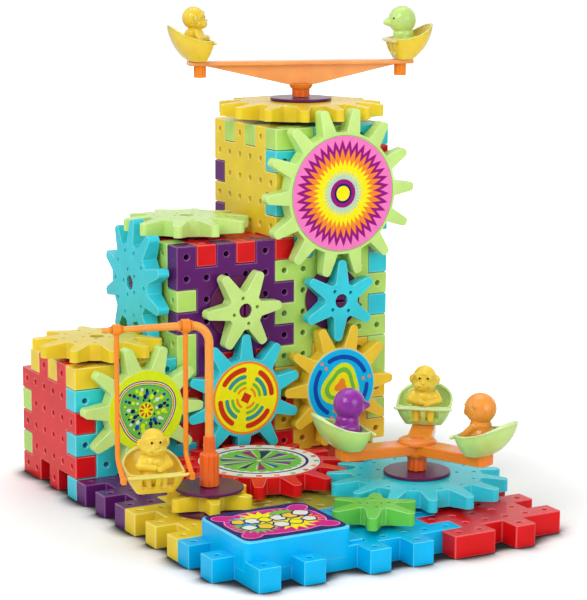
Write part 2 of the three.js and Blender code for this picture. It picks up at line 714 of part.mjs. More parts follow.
// Seat and rider facing the way the group's -X points; the seat's lip stands at x = 0
function addRide(parent, seatName, seat, seatColour, riderName, shares, height, riderColour) {
  const shell = seatSolid(seat);
  const sitAt = seat.length * (riderName ? sitShares.loose : sitShares.moulded);
  const sitHeight = riderName ? seat.wall : seat.wall - gap - gap;
  const rider = riderSolid(shares, height).translate([sitAt, 0, sitHeight]);
  if (riderName) {
    const room = bucketSolid(seat, seat.wall + gap);
    addPiece(parent, seatName, geometryOf(shell), seatColour);
    const trimmed = rider.subtract(room).decompose().sort((a, b) => b.volume() - a.volume());
    addPiece(parent, riderName, geometryOf(trimmed[0]), riderColour);
  } else {
    addPiece(parent, seatName, geometryOf(shell.add(rider)), seatColour);
  }
}

function rideGroup(gearName, degrees) {
  const gear = gearShares[gearName];
  const group = new THREE.Group();
  group.position.z = gearHead + gap;
  group.rotation.z = THREE.MathUtils.degToRad(degrees);
  standOn(gear.face, gear.at).add(group);
  return group;
}

function addTopDisc(group, name) {
  const disc = drum(0, 0, 0, axleDiscThickness, topDiscRadius, discSides);
  addPiece(group, name, geometryOf(disc), 'plum');
}

// Swing: a bent pole on the gear, two rods that hang from its arm, and a seat between their feet
function addSwing() {
  const group = rideGroup('gear_yellow_swing', swingTurn);
  addTopDisc(group, 'swing_disc');
  const rodInner = elbowRadius + elbowToRod;
  const rodOuter = rodInner + 2 * (rideSeat.width / 2 + rideSeat.ear + earToRod);
  const armReach = rodOuter + armOverhang;
  const foot = axleDiscThickness + gap;
  const socketTop = foot + socketHeight;
  const socket = drum(0, 0, foot, socketTop, postRadius);
  const neck = drum(0, 0, socketTop - gap, socketTop + neckHeight, poleRadius + neckWall);
  const pole = drum(0, 0, foot, swingHeight - elbowRadius, poleRadius, thinSides);
  const bend = new THREE.CurvePath();
  const middle = new THREE.Vector3(elbowRadius, 0, swingHeight - elbowRadius);
  const elbowPoint = (step) => {
    const angle = Math.PI - (Math.PI / 2) * (step / elbowSteps);
    return new THREE.Vector3(
      middle.x + elbowRadius * Math.cos(angle), 0, middle.z + elbowRadius * Math.sin(angle),
    );
  };
  bend.add(new THREE.LineCurve3(new THREE.Vector3(0, 0, middle.z - gap), elbowPoint(0)));
  for (let step = 0; step < elbowSteps; step += 1) {
    bend.add(new THREE.LineCurve3(elbowPoint(step), elbowPoint(step + 1)));
  }
  bend.add(new THREE.LineCurve3(elbowPoint(elbowSteps), new THREE.Vector3(middle.x + gap, 0, swingHeight)));
  const section = new THREE.Shape();
  section.absarc(0, 0, poleRadius, 0, Math.PI * 2);
  const elbow = solidOf(new THREE.ExtrudeGeometry(section, {
    extrudePath: bend, steps: elbowSteps + 2, bevelEnabled: false, curveSegments: thinSides / 2,
  }));
  const arm = drum(0, 0, elbowRadius - gap, armReach, poleRadius, roundSides, armTipRadius)
    .rotate([0, quarterTurn, 0]).translate([0, 0, swingHeight]);
  addPiece(group, 'swing_post', geometryOf(joinAll([socket, neck, pole, elbow, arm])), 'orange');

  const seatMiddle = (rodInner + rodOuter) / 2;
  const rodBend = swingHeight - rodDrop;
  const lipLevel = swingSeatLift + rideSeat.lip;
  const earOuter = rideSeat.width / 2 + rideSeat.ear;
  for (const [name, place] of [['swing_rod_inner', rodInner], ['swing_rod_outer', rodOuter]]) {
    const away = Math.sign(place - seatMiddle);
    const armShare = (place - elbowRadius) / (armReach - elbowRadius);
    const ringInner = THREE.MathUtils.lerp(poleRadius, armTipRadius, armShare) + ringPlay;
    const ringOuter = ringInner + ringWall;
    const ring = turned([
      [ringInner, -ringWidth / 2], [ringOuter, -ringWidth / 2], [ringOuter, ringWidth / 2],
      [ringInner, ringWidth / 2], [ringInner, -ringWidth / 2],
    ], roundSides).rotate([0, quarterTurn, 0]).translate([place, 0, swingHeight]);
    const drop = bar([place, 0, swingHeight - ringInner - ringWall / 2], [place, 0, rodBend], rodRadius);
    const slope = bar(
      [place, 0, rodBend + rodRadius], [place, footReach - footHeight / 2, lipLevel - footHeight / 2],
      rodRadius,
    );
    const near = seatMiddle + away * (earOuter + gap);
    const far = place + away * rodRadius;
    const clip = block(
      Math.min(near, far), Math.max(near, far), footReach - footHeight, footReach,
      lipLevel - footHeight, lipLevel,
    );
    addPiece(group, name, geometryOf(joinAll([ring, drop, slope, clip])), 'orange');
  }

  const seat = new THREE.Group();
  seat.position.set(seatMiddle, footReach, swingSeatLift);
  seat.rotation.z = -Math.PI / 2;
  group.add(seat);
  addRide(seat, 'swing_seat', rideSeat, 'yellow', null, monkeyShares, riderHeight, 'yellow');
}

// Carousel: three arms on a hub, with a seat at the end of each
function addCarousel() {
  const group = rideGroup('gear_teal_flat', carouselTurn);
  addTopDisc(group, 'carousel_disc');
  const foot = axleDiscThickness + gap;
  const level = foot + armLevel;
  const arms = [];
  for (let place = 0; place < carouselSeats; place += 1) {
    const arm = block(0, armLength, -armWidth / 2, armWidth / 2, level, level + armThickness);
    arms.push(arm.rotate([0, 0, (fullTurn * place) / carouselSeats]));
  }
  const hub = drum(0, 0, foot, level + gap, postRadius);
  const collar = drum(
    0, 0, level + armThickness - gap, level + armThickness + collarHeight, collarRadius, roundSides,
    collarTopRadius,
  );
  addPiece(group, 'carousel_arms', geometryOf(joinAll([...arms, hub, collar])), 'orange');
  const riders = [
    ['rear', 'carousel_rider_monkey', monkeyShares, 'yellow'],
    ['left', 'carousel_rider_chick', chickShares, 'purple'],
    ['right', 'carousel_rider_cub', monkeyShares, 'orange'],
  ];
  riders.forEach(([side, riderName, shares, colour], place) => {
    const arm = new THREE.Group();
    arm.rotation.z = (2 * Math.PI * place) / carouselSeats;
    const seat = new THREE.Group();
    seat.position.set(seatReach, 0, level + armThickness + gap);
    arm.add(seat);
    group.add(arm);
    addRide(seat, `carousel_seat_${side}`, rideSeat, 'lime', riderName, shares, riderHeight, colour);
  });
}

// Seesaw: a flanged beam over a deep web, with a seat at each end facing the middle
function addSeesaw() {
  const group = rideGroup('gear_yellow_top', beamTurn);
  addTopDisc(group, 'seesaw_disc');
  const foot = axleDiscThickness + gap;
  const webLow = foot + beamPostHeight;
  const flangeLow = webLow + webDepth;
  const top = flangeLow + flangeThickness;
  const end = beamLength / 2;
  const web = slab([
    [-webFoot / 2, webLow], [webFoot / 2, webLow], [end - endTubeInset, flangeLow + gap],
    [endTubeInset - end, flangeLow + gap],
  ], webThickness);
  const flange = block(-end, end, -beamWidth / 2, beamWidth / 2, flangeLow, top);
  const post = drum(0, 0, foot, webLow + gap, postRadius);
  const tubes = [-1, 1].map((side) => drum(
    side * (end - endTubeInset), 0, flangeLow - endTubeLength, flangeLow + gap, endTubeRadius,
  ));
  addPiece(group, 'seesaw_beam', geometryOf(joinAll([web, flange, post, ...tubes])), 'orange');
  const seats = [
    ['seesaw_seat_right', 0, 'seesaw_rider_chick', chickShares, 'lime'],
    ['seesaw_seat_left', Math.PI, null, monkeyShares, 'yellow'],
  ];
  for (const [name, turn, riderName, shares, colour] of seats) {
    const side = new THREE.Group();
    side.rotation.z = turn;
    const seat = new THREE.Group();
    seat.position.set(end - seesawSeatInset, 0, top + gap);
    side.add(seat);
    group.add(side);
    addRide(seat, name, seesawSeat, 'yellow', riderName, shares, seesawRiderHeight, colour);
  }
}

addPanels();
addMotorUnit();
addGears();
addSwing();
addCarousel();
addSeesaw();

export default toy;
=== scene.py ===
import math
import random

import bmesh
import bpy
from mathutils import Matrix, Vector


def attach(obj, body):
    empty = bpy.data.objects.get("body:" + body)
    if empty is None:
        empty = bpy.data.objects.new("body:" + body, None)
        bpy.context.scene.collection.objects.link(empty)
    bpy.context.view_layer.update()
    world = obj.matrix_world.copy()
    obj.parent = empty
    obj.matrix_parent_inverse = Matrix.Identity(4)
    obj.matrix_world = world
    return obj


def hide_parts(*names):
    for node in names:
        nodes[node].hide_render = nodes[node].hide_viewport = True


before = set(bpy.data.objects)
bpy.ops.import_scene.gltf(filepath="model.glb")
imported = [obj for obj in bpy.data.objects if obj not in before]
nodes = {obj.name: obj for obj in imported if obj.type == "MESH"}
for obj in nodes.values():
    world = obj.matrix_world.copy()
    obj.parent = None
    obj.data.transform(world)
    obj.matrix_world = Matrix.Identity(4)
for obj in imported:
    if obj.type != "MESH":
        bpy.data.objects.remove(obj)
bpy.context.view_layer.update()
print("frame loaded")

# lengths are in millimetres, and turn to metres where a mesh, bevel or place is made
mm = 0.001
cell = 12.5           # width of a panel's tab
gap = 0.3             # clearance between pieces
gridOrigin = (8, 8)   # cell under which the frame's origin lies
fullTurn = 2 * math.pi

gearThickness = 9.4
axleDiscRadius = 18
axleDiscThickness = 1.6
axleDiscEdge = 0.5
stubRadius = 3.6
gearFoot = gap / 2 + axleDiscThickness + gap
gearHead = gearFoot + gearThickness
rideFoot = axleDiscThickness + gap   # where a ride stands on its disc

# across, upwards and outwards for each way that a panel or a gear can face
faces = {
    "top": ((1, 0, 0), (0, 1, 0), (0, 0, 1)),
    "front": ((1, 0, 0), (0, 0, 1), (0, -1, 0)),
    "left": ((0, -1, 0), (0, 0, 1), (-1, 0, 0)),
    "right": ((0, 1, 0), (0, 0, 1), (1, 0, 0)),
    "back": ((-1, 0, 0), (0, 0, 1), (0, 1, 0)),
}

# colours as they look on screen, from 0 to 1
colours = {
    "red": (0.88, 0.08, 0.10), "purple": (0.38, 0.12, 0.43), "teal": (0.22, 0.83, 0.90),
    "lime": (0.73, 0.89, 0.43), "paleLime": (0.80, 0.94, 0.54), "yellow": (0.95, 0.83, 0.20),
    "amber": (0.96, 0.80, 0.21), "blue": (0.0, 0.74, 0.97), "orange": (0.99, 0.56, 0.16),
    # olive is a darkened lime, painted shade for the lime base panel under the gears
    "green": (0.42, 0.80, 0.30), "plum": (0.38, 0.12, 0.33), "olive": (0.66, 0.67, 0.25),
    "maroon": (0.72, 0.10, 0.14), "black": (0.05, 0.05, 0.06), "white": (0.93, 0.93, 0.91),
    "navy": (0.10, 0.10, 0.42), "pink": (0.99, 0.50, 0.78), "magenta": (0.62, 0.05, 0.50),
    "cerise": (0.82, 0.06, 0.55), "lemon": (1.00, 0.95, 0.06), "rust": (0.84, 0.20, 0.09),
    "aqua": (0.20, 0.62, 0.60), "leaf": (0.45, 0.78, 0.28), "violet": (0.48, 0.20, 0.58),
    "cobalt": (0.03, 0.30, 0.72), "pearl": (0.74, 0.86, 0.76), "lemonLime": (0.88, 0.96, 0.10),
}
clearColours = {
    "lime": (0.79, 0.92, 0.53), "yellow": (0.96, 0.83, 0.25), "orange": (1.00, 0.64, 0.26),
    "purple": (0.60, 0.18, 0.66), "paleOrange": (1.00, 0.66, 0.36),
    "deepOrange": (1.00, 0.44, 0.12), "midOrange": (1.00, 0.53, 0.14),
}
works = {"steel": (0.62, 0.63, 0.65), "batteryJacket": (0.20, 0.45, 0.24)}


def toLinear(colour):
    return tuple(c / 12.92 if c <= 0.04045 else ((c + 0.055) / 1.055) ** 2.4 for c in colour) + (1.0,)


def shifted(colour, factor):
    return tuple(min(1.0, c * factor) for c in colour)


def paler(colour, share):
    return tuple(c + (1 - c) * share for c in colour)


# Materials

plasticLook = {
    "roughness": 0.25, "specular": 0.20, "coat": 0.03, "coatRoughness": 0.1, "scatter": 0.06,
    "flowScale": 45.0, "flow": 0.035, "grainScale": 1400.0, "grain": 0.018,
}
# painted highlight: rounded edges take paler copies of the colours, standing in for glints of light along
# them, least on dark panels
paintedHighlightLook = {
    **plasticLook, "roughness": 0.16, "specular": 0.5, "coat": 0.3, "coatRoughness": 0.08,
    "scatter": 0.2, "paler": {"purple": 0.16, "maroon": 0.18, "other": 0.28},
}
clearLook = {
    "roughness": 0.2, "specular": 0.45, "coat": 0.2, "coatRoughness": 0.08, "scatter": 0.45,
    "flowScale": 60.0, "flow": 0.05, "grainScale": 900.0, "grain": 0.012,
}
printLook = {
    "roughness": 0.45, "specular": 0.13, "coat": 0.02, "coatRoughness": 0.2, "scatter": 0.0,
    "flowScale": 300.0, "flow": 0.02, "grainScale": 2600.0, "grain": 0.01,
}
# what every look has in common
skinLook = {
    "flowDetail": 3.0, "grainDetail": 2.0, "toneStops": (0.3, 0.7), "glossSpread": 0.15,
    "bumpGain": 4, "bumpDepth": 0.1 * mm, "scatterRadius": (1.0, 0.6, 0.4), "scatterScale": 1.5 * mm,
}


# Sets a node's sockets to plain values, or links them to other sockets
def setSockets(tree, node, sockets):
    for name, value in sockets.items():
        if isinstance(value, bpy.types.NodeSocket):
            tree.links.new(value, node.inputs[name])
        else:
            node.inputs[name].default_value = value


def addNode(tree, kind, sockets, **settings):
    node = tree.nodes.new("ShaderNode" + kind)
    for name, value in settings.items():
        setattr(node, name, value)
    setSockets(tree, node, sockets)
    return node


# Moulded plastic: slow flow marks in the colour, a fine skin in gloss and bump
def mouldedMaterial(name, colour, look, metallic=0.0):
    material = bpy.data.materials.new(name)
    material.use_nodes = True
    tree = material.node_tree
    place = addNode(tree, "TexCoord", {}).outputs["Object"]
    flow, grain = (
        addNode(tree, "TexNoise", {
            "Vector": place, "Scale": look[kind + "Scale"], "Detail": skinLook[kind + "Detail"],
        }).outputs["Fac"] for kind in ("flow", "grain")
    )
    tone = addNode(tree, "ValToRGB", {"Fac": flow})
    for stop, position, sign in zip(tone.color_ramp.elements, skinLook["toneStops"], (-1, 1)):
        stop.position = position
        stop.color = toLinear(shifted(colour, 1 + sign * look["flow"]))
    low, high = (look["roughness"] * (1 + sign * skinLook["glossSpread"]) for sign in (-1, 1))
    gloss = addNode(tree, "MapRange", {"Value": grain, "To Min": low, "To Max": high})
    bump = addNode(tree, "Bump", {
        "Height": grain, "Strength": look["grain"] * skinLook["bumpGain"], "Distance": skinLook["bumpDepth"],
    })
    setSockets(tree, tree.nodes["Principled BSDF"], {
        "Base Color": tone.outputs["Color"], "Roughness": gloss.outputs["Result"],
        "Normal": bump.outputs["Normal"], "Metallic": metallic, "Specular IOR Level": look["specular"],
        "Coat Weight": look["coat"], "Coat Roughness": look["coatRoughness"],
        "Subsurface Weight": look["scatter"], "Subsurface Radius": skinLook["scatterRadius"],
        "Subsurface Scale": skinLook["scatterScale"],
    })
    return material


# One material for each colour; those of paleness go towards white
def materialSet(suffix, names, look, tones=colours, paleness=None):
    made = {}
    for name in names:
        share = paleness.get(name, paleness["other"]) if paleness else 0.0
        made[name] = mouldedMaterial(name + suffix, paler(tones[name], share), look)
    return made


panelColours = (
    "red", "purple", "teal", "lime", "yellow", "amber", "blue", "green", "olive", "maroon", "paleLime",
)
plastic = materialSet("Plastic", panelColours + ("orange", "plum", "black"), plasticLook)
# paler copies of the panel colours, a painted highlight for the rounded edges
edge = materialSet("PaintedHighlight", panelColours, paintedHighlightLook, paleness=paintedHighlightLook["paler"])
clear = materialSet("ClearPlastic", clearColours, clearLook, clearColours)
# paler copies of the clear seat colours, a painted highlight on the seats' rims and lap bars
clearHighlight = materialSet("ClearPaintedHighlight", ("lime", "yellow"), clearLook, clearColours, {"other": 0.25})
ink = materialSet("Ink", (
    "white", "navy", "pink", "magenta", "lemon", "rust", "aqua", "leaf", "violet", "cobalt", "orange",
    "blue", "amber", "pearl", "lemonLime", "cerise",
), printLook)
steel = mouldedMaterial("motorSteel", works["steel"], printLook, metallic=1.0)
batteryJacket = mouldedMaterial("batteryJacket", works["batteryJacket"], printLook)
print("materials made")


# Making meshes

def meshObject(name, bm, *materials):
    mesh = bpy.data.meshes.new(name)
    bm.transform(Matrix.Scale(mm, 4))
    bmesh.ops.recalc_face_normals(bm, faces=bm.faces)
    bm.to_mesh(mesh)
    bm.free()
    piece = bpy.data.objects.new(name, mesh)
    bpy.context.scene.collection.objects.link(piece)
    for material in materials:
        mesh.materials.append(material)
    return piece


# Bakes the modifiers of a piece into its mesh
def applyModifiers(piece):
    graph = bpy.context.evaluated_depsgraph_get()
    graph.update()
    made = bpy.data.meshes.new_from_object(piece.evaluated_get(graph))
    old = piece.data
    piece.modifiers.clear()
    piece.data = made
    bpy.data.meshes.remove(old)
    return piece


# Rounds the edges that are sharper than an angle; a given material, such as a painted highlight colour, goes
# on the rounded faces
def roundEdges(piece, width, segments, angle, material=None):
    bevel = piece.modifiers.new("roundedEdges", "BEVEL")
    if material:
        piece.data.materials.append(material)
        bevel.material = len(piece.data.materials) - 1
    bevel.width = width * mm
    bevel.segments = segments
    bevel.limit_method = "ANGLE"
    bevel.angle_limit = math.radians(angle)
    bevel.use_clamp_overlap = True
    return applyModifiers(piece)


# Cuts a closed mesh out of a piece
def carve(piece, bm):
    cutter = meshObject("cutter", bm)
    cut = piece.modifiers.new("cut", "BOOLEAN")
    cut.operation = "DIFFERENCE"
    cut.solver = "EXACT"
    cut.object = cutter
    applyModifiers(piece)
    bpy.data.objects.remove(cutter)


def allSmooth(piece):
    piece.data.polygons.foreach_set("use_smooth", [True] * len(piece.data.polygons))


def smooth(piece, angle, weighted=True):
    allSmooth(piece)
    piece.data.set_sharp_from_angle(angle=math.radians(angle))
    if weighted:
        even = piece.modifiers.new("evenShading", "WEIGHTED_NORMAL")
        even.keep_sharp = True
        even.weight = 60


# Joins meshes that haven't been placed yet into the first, which keeps its name
def joined(pieces):
    first = pieces[0]
    bm = bmesh.new()
    for piece in pieces:
        if piece is not first:
            shift = len(first.data.materials)
            for material in piece.data.materials:
                first.data.materials.append(material)
            for polygon in piece.data.polygons:
                polygon.material_index += shift
        bm.from_mesh(piece.data)
    bm.to_mesh(first.data)
    bm.free()
    for piece in pieces[1:]:
        bpy.data.objects.remove(piece)
    return first


# Puts a piece at its place, its own axes along the frame's, and hands it to its body
def settle(piece, matrix, body, node=None, angle=None):
    if angle:
        smooth(piece, angle)
    spot = matrix.to_translation()
    piece.data.transform(Matrix.Translation(-spot) @ matrix)
    piece.matrix_world = Matrix.Translation(spot)
    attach(piece, body)
    if node:
        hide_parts(node)


def moved(x, y, z):
    return Matrix.Translation(Vector((x, y, z)) * mm)


def rotated(angle, axis="Z"):
    return Matrix.Rotation(angle, 4, axis)


# Matrix of a place on the grid, with Z looking outwards
def onFace(face, at):
    axes = Matrix([Vector(axis) for axis in faces[face]]).transposed().to_4x4()
    x, y = ((at[axis] - gridOrigin[axis]) * cell for axis in (0, 1))
    return moved(x, y, at[2] * cell - gap / 2) @ axes


def polar(radius, angle):
    return radius * math.cos(angle), radius * math.sin(angle)


def circle(steps, shift=0.0):
    return [fullTurn * (step + shift) / steps for step in range(steps)]


# Points on an arc between two angles in degrees
def arc(radius, start, end, steps, cx=0.0, cy=0.0):
    spots = (polar(radius, math.radians(start + (end - start) * step / steps)) for step in range(steps + 1))
    return [(cx + x, cy + y) for x, y in spots]


# Point on the curve from start to end that is drawn towards a corner
def curvePoint(start, corner, end, share):
    return start * (1 - share) ** 2 + corner * 2 * share * (1 - share) + end * share ** 2


# Faces between two rings of vertices, one of which may be a single tip
def bridge(bm, low, high):
    count = max(len(low), len(high))
    made = []
    for step in range(count):
        after = (step + 1) % count
        if len(low) == 1:
            corners = (low[0], high[step], high[after])
        elif len(high) == 1:
            corners = (low[step], low[after], high[0])
        else:
            corners = (low[step], low[after], high[after], high[step])
        made.append(bm.faces.new(corners))
    return made


# Solid of revolution about Z from points of radius and height; flutes, given as how many and how
# deep, run between two heights
def turned(profile, sides=48, flutes=(0, 0), fluteTop=0.0, fluteFoot=0.0):
    bm = bmesh.new()
    rings = []
    for radius, height in profile:
        ring = []
        for angle in circle(sides) if radius else (0.0,):
            cut = 0.0
            if fluteFoot < height <= fluteTop:
                cut = flutes[1] * (0.5 - 0.5 * math.cos(flutes[0] * angle)) ** 3
            ring.append(bm.verts.new((*polar(radius - cut, angle), height)))
        rings.append(ring)
    for low, high in zip(rings, rings[1:]):
        bridge(bm, low, high)
    return bm


# The same profile with its corners rounded
def eased(profile, radius):
    points = [Vector(p) for p in profile]
    out = [points[0]]
    for before, here, after in zip(points, points[1:], points[2:]):
        reach = min(radius, (here - before).length * 0.45, (after - here).length * 0.45)
        start = here + (before - here).normalized() * reach
        end = here + (after - here).normalized() * reach
        out += [curvePoint(start, here, end, share) for share in (0.0, 0.33, 0.67, 1.0)]
    out.append(points[-1])
    return [tuple(p) for p in out]


# Turned disc or drum between two heights; its foot may have a radius of its own
def drum(radius, low, high, easing, sides=48, foot=None, **flutes):
    foot = foot or radius
    return turned(eased(((0, low), (foot, low), (radius, high), (0, high)), easing), sides, **flutes)


# Tube through points, with one radius for each
def tube(points, radii, sides, closed=False):
    bm = bmesh.new()
    points = [Vector(p) for p in points]
    last = len(points) - 1
    tangents = []
    for index in range(len(points)):
        if closed:
            before, after = index - 1, (index + 1) % len(points)
        else:
            before, after = max(index - 1, 0), min(index + 1, last)
        tangents.append((points[after] - points[before]).normalized())
    normal = tangents[0].orthogonal().normalized()
    rings = []
    for point, tangent, radius in zip(points, tangents, radii):
        normal = (normal - tangent * normal.dot(tangent)).normalized()
        side = tangent.cross(normal)
        rings.append([
            bm.verts.new(point + (normal * math.cos(a) + side * math.sin(a)) * radius) for a in circle(sides)
        ])
    for low, high in zip(rings, rings[1:] + (rings[:1] if closed else [])):
        bridge(bm, low, high)
    if not closed:
        bm.faces.new(rings[0][::-1])
        bm.faces.new(rings[-1])
    return bm


# Upright prisms over outlines, in one mesh
def prisms(outlines, low, high):
    bm = bmesh.new()
    for outline in outlines:
        bottom, top = ([bm.verts.new((x, y, z)) for x, y in outline] for z in (low, high))
        bm.faces.new(bottom[::-1])
        bm.faces.new(top)
        bridge(bm, bottom, top)
    return bm


def blockMesh(x0, x1, y0, y1, z0, z1):
    return prisms([((x0, y0), (x1, y0), (x1, y1), (x0, y1))], z0, z1)


def roundedOutline(x0, x1, y0, y1, radius, steps=6):
    corners = ((x1 - radius, y0 + radius), (x1 - radius, y1 - radius),
               (x0 + radius, y1 - radius), (x0 + radius, y0 + radius))
    out = []
    for corner, (cx, cy) in enumerate(corners):
        out += arc(radius, 90 * corner - 90, 90 * corner, steps, cx, cy)
    return out


def oval(x, y, long, short, turn=0.0, steps=14):
    c, s = math.cos(turn), math.sin(turn)
    spots = ((long * math.cos(a), short * math.sin(a)) for a in circle(steps))
    return [(x + px * c - py * s, y + px * s + py * c) for px, py in spots]


# Panels; an edge is its width, its segments and the angle from which edges are rounded

panelLook = {
    "pitch": 5, "holeRadius": 0.13, "holeDepth": 7, "edge": (0.62, 3, 50), "outlineSteps": 16,
    "shadeAngle": 40, "nudge": 0.01,
}

# wall, colour, level, lower left cell and filled corner of each
panels = (
    ("base", "yellow", "", (0, 5, 1), "lowLeft"),
    ("base", "purple", "", (0, 10, 1), "lowLeft"),
    ("base", "red", "", (10, 0, 1), "lowLeft"),
    # olive: the base panel under the gears, a lime darkened as painted shade
    ("base", "olive", "", (5, 5, 1), "highLeft"),
    ("base", "lime", "", (5, 10, 1), "lowRight"),
    ("base", "maroon", "", (10, 5, 1), "lowRight"),
    ("base", "maroon", "Back", (10, 10, 1), "lowRight"),
    ("front", "teal", "Low", (0, 15, 0), "lowLeft"),
    ("front", "red", "Low", (5, 15, 0), "lowLeft"),
    ("front", "amber", "Low", (10, 15, 0), "lowLeft"),
    ("front", "purple", "Mid", (5, 15, 5), "highLeft"),
    ("front", "lime", "Mid", (10, 15, 5), "lowLeft"),
    ("front", "teal", "High", (10, 15, 10), "highRight"),
    ("left", "red", "Low", (0, 21, 0), "lowLeft"),
    ("left", "lime", "Mid", (5, 21, 5), "lowRight"),
    ("left", "yellow", "High", (10, 21, 10), "highLeft"),
    ("top", "yellow", "Low", (0, 15, 6), "lowLeft"),
    ("top", "red", "Mid", (5, 15, 11), "lowRight"),
    ("top", "lime", "High", (10, 15, 16), "lowLeft"),
    ("right", "lime", "Low", (16, 15, 0), "highLeft"),
    ("right", "teal", "Mid", (16, 15, 5), None),
    ("right", "red", "High", (16, 15, 10), None),
    ("back", "purple", "", (16, 21, 0), "highRight"),
    ("back", "red", "", (11, 21, 0), None),
    ("back", "lime", "", (6, 21, 0), None),
    ("back", "teal", "", (16, 21, 5), None),
    ("back", "yellow", "", (11, 21, 5), None),
    ("back", "purple", "High", (16, 21, 10), None),
)


# Cells of a plate: a core, a ring of tabs and a filled corner
def plateCells(corner=None, wide=1):
    pitch = panelLook["pitch"]
    far = pitch * wide
    cells = {(column, row) for column in range(1, far) for row in range(1, pitch)}
    for step in (1, 3):
        cells |= {(far, step), (0, pitch - step)}
        for panel in range(wide):
            cells |= {(panel * pitch + step, 0), (far - panel * pitch - step, pitch)}
    places = {"lowLeft": (0, 0), "lowRight": (far, 0), "highLeft": (0, pitch), "highRight": (far, pitch)}
    return cells | {places[corner]} if corner else cells


# Plate whose cells each have a round blind hole in the outer face
def plateMesh(cells, plain=()):
    bm = bmesh.new()
    top, bottom = -gap / 2, gap / 2 - cell
    ways = (-panelLook["nudge"], panelLook["nudge"])
    known = {}

    def filled(x, y):
        return (math.floor(x), math.floor(y)) in cells

    # Grid corners and edges on the outline are drawn in by half the gap
    def edgeVertex(x, y, z):
        key = (round(x * 1000), round(y * 1000), z)
        if key not in known:
            left, right = (sum(filled(x + i, y + j) for j in ways) for i in ways)
            low, high = (sum(filled(x + i, y + j) for i in ways) for j in ways)
            dx = ((right > left) - (right < left)) * gap / 2
            dy = ((high > low) - (high < low)) * gap / 2
            known[key] = bm.verts.new((x * cell + dx, y * cell + dy, z))
        return known[key]

    reach = []
    for angle in circle(panelLook["outlineSteps"]):
        c, s = polar(1, angle)
        longest = max(abs(c), abs(s)) * 2
        reach.append((c / longest, s / longest))
    mouths = [polar(panelLook["holeRadius"], angle) for angle in circle(panelLook["outlineSteps"])]
    for column, row in cells:
        cx, cy = column + 0.5, row + 0.5
        rim, under = ([edgeVertex(cx + px, cy + py, z) for px, py in reach] for z in (top, bottom))
        bm.faces.new(under[::-1])
        if (column, row) in plain:
            bm.faces.new(rim)
        else:
            mouth, pit = (
                [bm.verts.new(((cx + px) * cell, (cy + py) * cell, z)) for px, py in mouths]
                for z in (top, top - panelLook["holeDepth"])
            )
            bm.faces.new(pit)
            bridge(bm, rim, mouth)
            bridge(bm, mouth, pit)
        for index, (here, then) in enumerate(zip(reach, reach[1:] + reach[:1])):
            after = (index + 1) % len(reach)
            px, py = here[0] + then[0], here[1] + then[1]
            side = (int(math.copysign(1, px)), 0) if abs(px) > abs(py) else (0, int(math.copysign(1, py)))
            if (column + side[0], row + side[1]) not in cells:
                bm.faces.new((rim[after], rim[index], under[index], under[after]))
    return bm


# Rounds a plate's edges in the painted highlight colour
def roundPlate(piece, colour):
    roundEdges(piece, *panelLook["edge"], edge[colour])


def makePanels():
    for wall, colour, level, at, corner in panels:
        node = f"{wall}_{colour}_{level.lower()}" if level in ("Low", "Mid", "High") else f"{wall}_{colour}"
        if wall in ("right", "back"):
            node = f"{wall}_wall"
        name = f"{wall}{colour.capitalize()}{level}"
        piece = meshObject(name, plateMesh(plateCells(corner)), plastic[colour])
        roundPlate(piece, colour)
        place = onFace("top" if wall == "base" else wall, at)
        settle(piece, place, "frame", node, panelLook["shadeAngle"])


makePanels()
print("panels made")


# Gears

gearLook = {
    "tip": 0.4, "root": 0.705, "rootWidth": 0.685, "crowding": 0.96, "tipWidth": 0.435,
    "roundness": 0.85, "tipSteps": 5, "tipSweep": 78, "tipPower": 0.9, "thinning": 0.26, "tipThinning": 0.1,
    "edge": (0.95, 4, 28), "shadeAngle": 50, "hubRadius": 4.2, "dotRadius": 1.05, "dotDepth": 5,
    "dotSides": 16,
}

# teeth, face, centre in cells, rest angle in tooth pitches, and panel that carries its axle disc
gears = {
    "gear_lime_low": (10, "front", (3, 15, 4), 0.945, "front_teal_low"),
    "gear_teal_low": (10, "front", (8, 15, 4), 0.45, "front_red_low"),
    "gear_amber_low": (10, "front", (13, 15, 4), 0.05, "front_amber_low"),
    "gear_lime_star": (6, "front", (8, 15, 8), 0.05, "front_purple_mid"),
    "gear_teal_star": (6, "front", (13, 15, 8), 0.45, "front_lime_mid"),
    "gear_lime_large": (14, "front", (13, 15, 13), 0.05, "front_teal_high"),
    "gear_yellow_top": (14, "top", (13, 18, 16), 0.45, "top_lime_high"),
    "gear_lime_top": (10, "top", (7, 18, 11), 0.534, "top_red_mid"),
    "gear_teal_side": (10, "left", (5, 18, 9), 0.466, "left_lime_mid"),
    "gear_yellow_low": (10, "top", (2, 17, 6), 0.232, "top_yellow_low"),
    "gear_red_flat": (14, "top", (7, 11, 1), 0.382, "base_lime"),
    "gear_teal_flat": (14, "top", (12, 6, 1), 0.618, "base_maroon"),
    "gear_green_drive": (6, "top", (8, 3, 1), 0.934, None),
    "gear_yellow_swing": (6, "top", (3, 8, 1), 0.17, "base_yellow"),
}
# bodies that are named for what they carry; the others are named for their gear
rideBodies = {
    "gear_yellow_top": "seesaw", "gear_teal_flat": "carousel", "gear_green_drive": "drive",
    "gear_yellow_swing": "swing_gear",
}

# rings of small holes: radius in cells, how many, and their turn in tooth pitches
dotRings = {
    6: ((0.60, 4, 0.18),),
    10: ((0.62, 5, 0.5), (1.5, 10, 0.5)),
    14: ((0.95, 6, 0.0), (1.75, 7, 0.5), (2.5, 14, 0.5)),
}


# Matrix of a gear's foot on its panel, turned by an angle
def onGear(gear, angle, lift=0.0):
    return onFace(*gears[gear][1:3]) @ moved(0, 0, lift) @ rotated(angle)


def atRest(gear, lift=0.0):
    return onGear(gear, fullTurn * gears[gear][3] / gears[gear][0], lift)


def bodyOf(gear):
    return rideBodies.get(gear, gear + "_body")


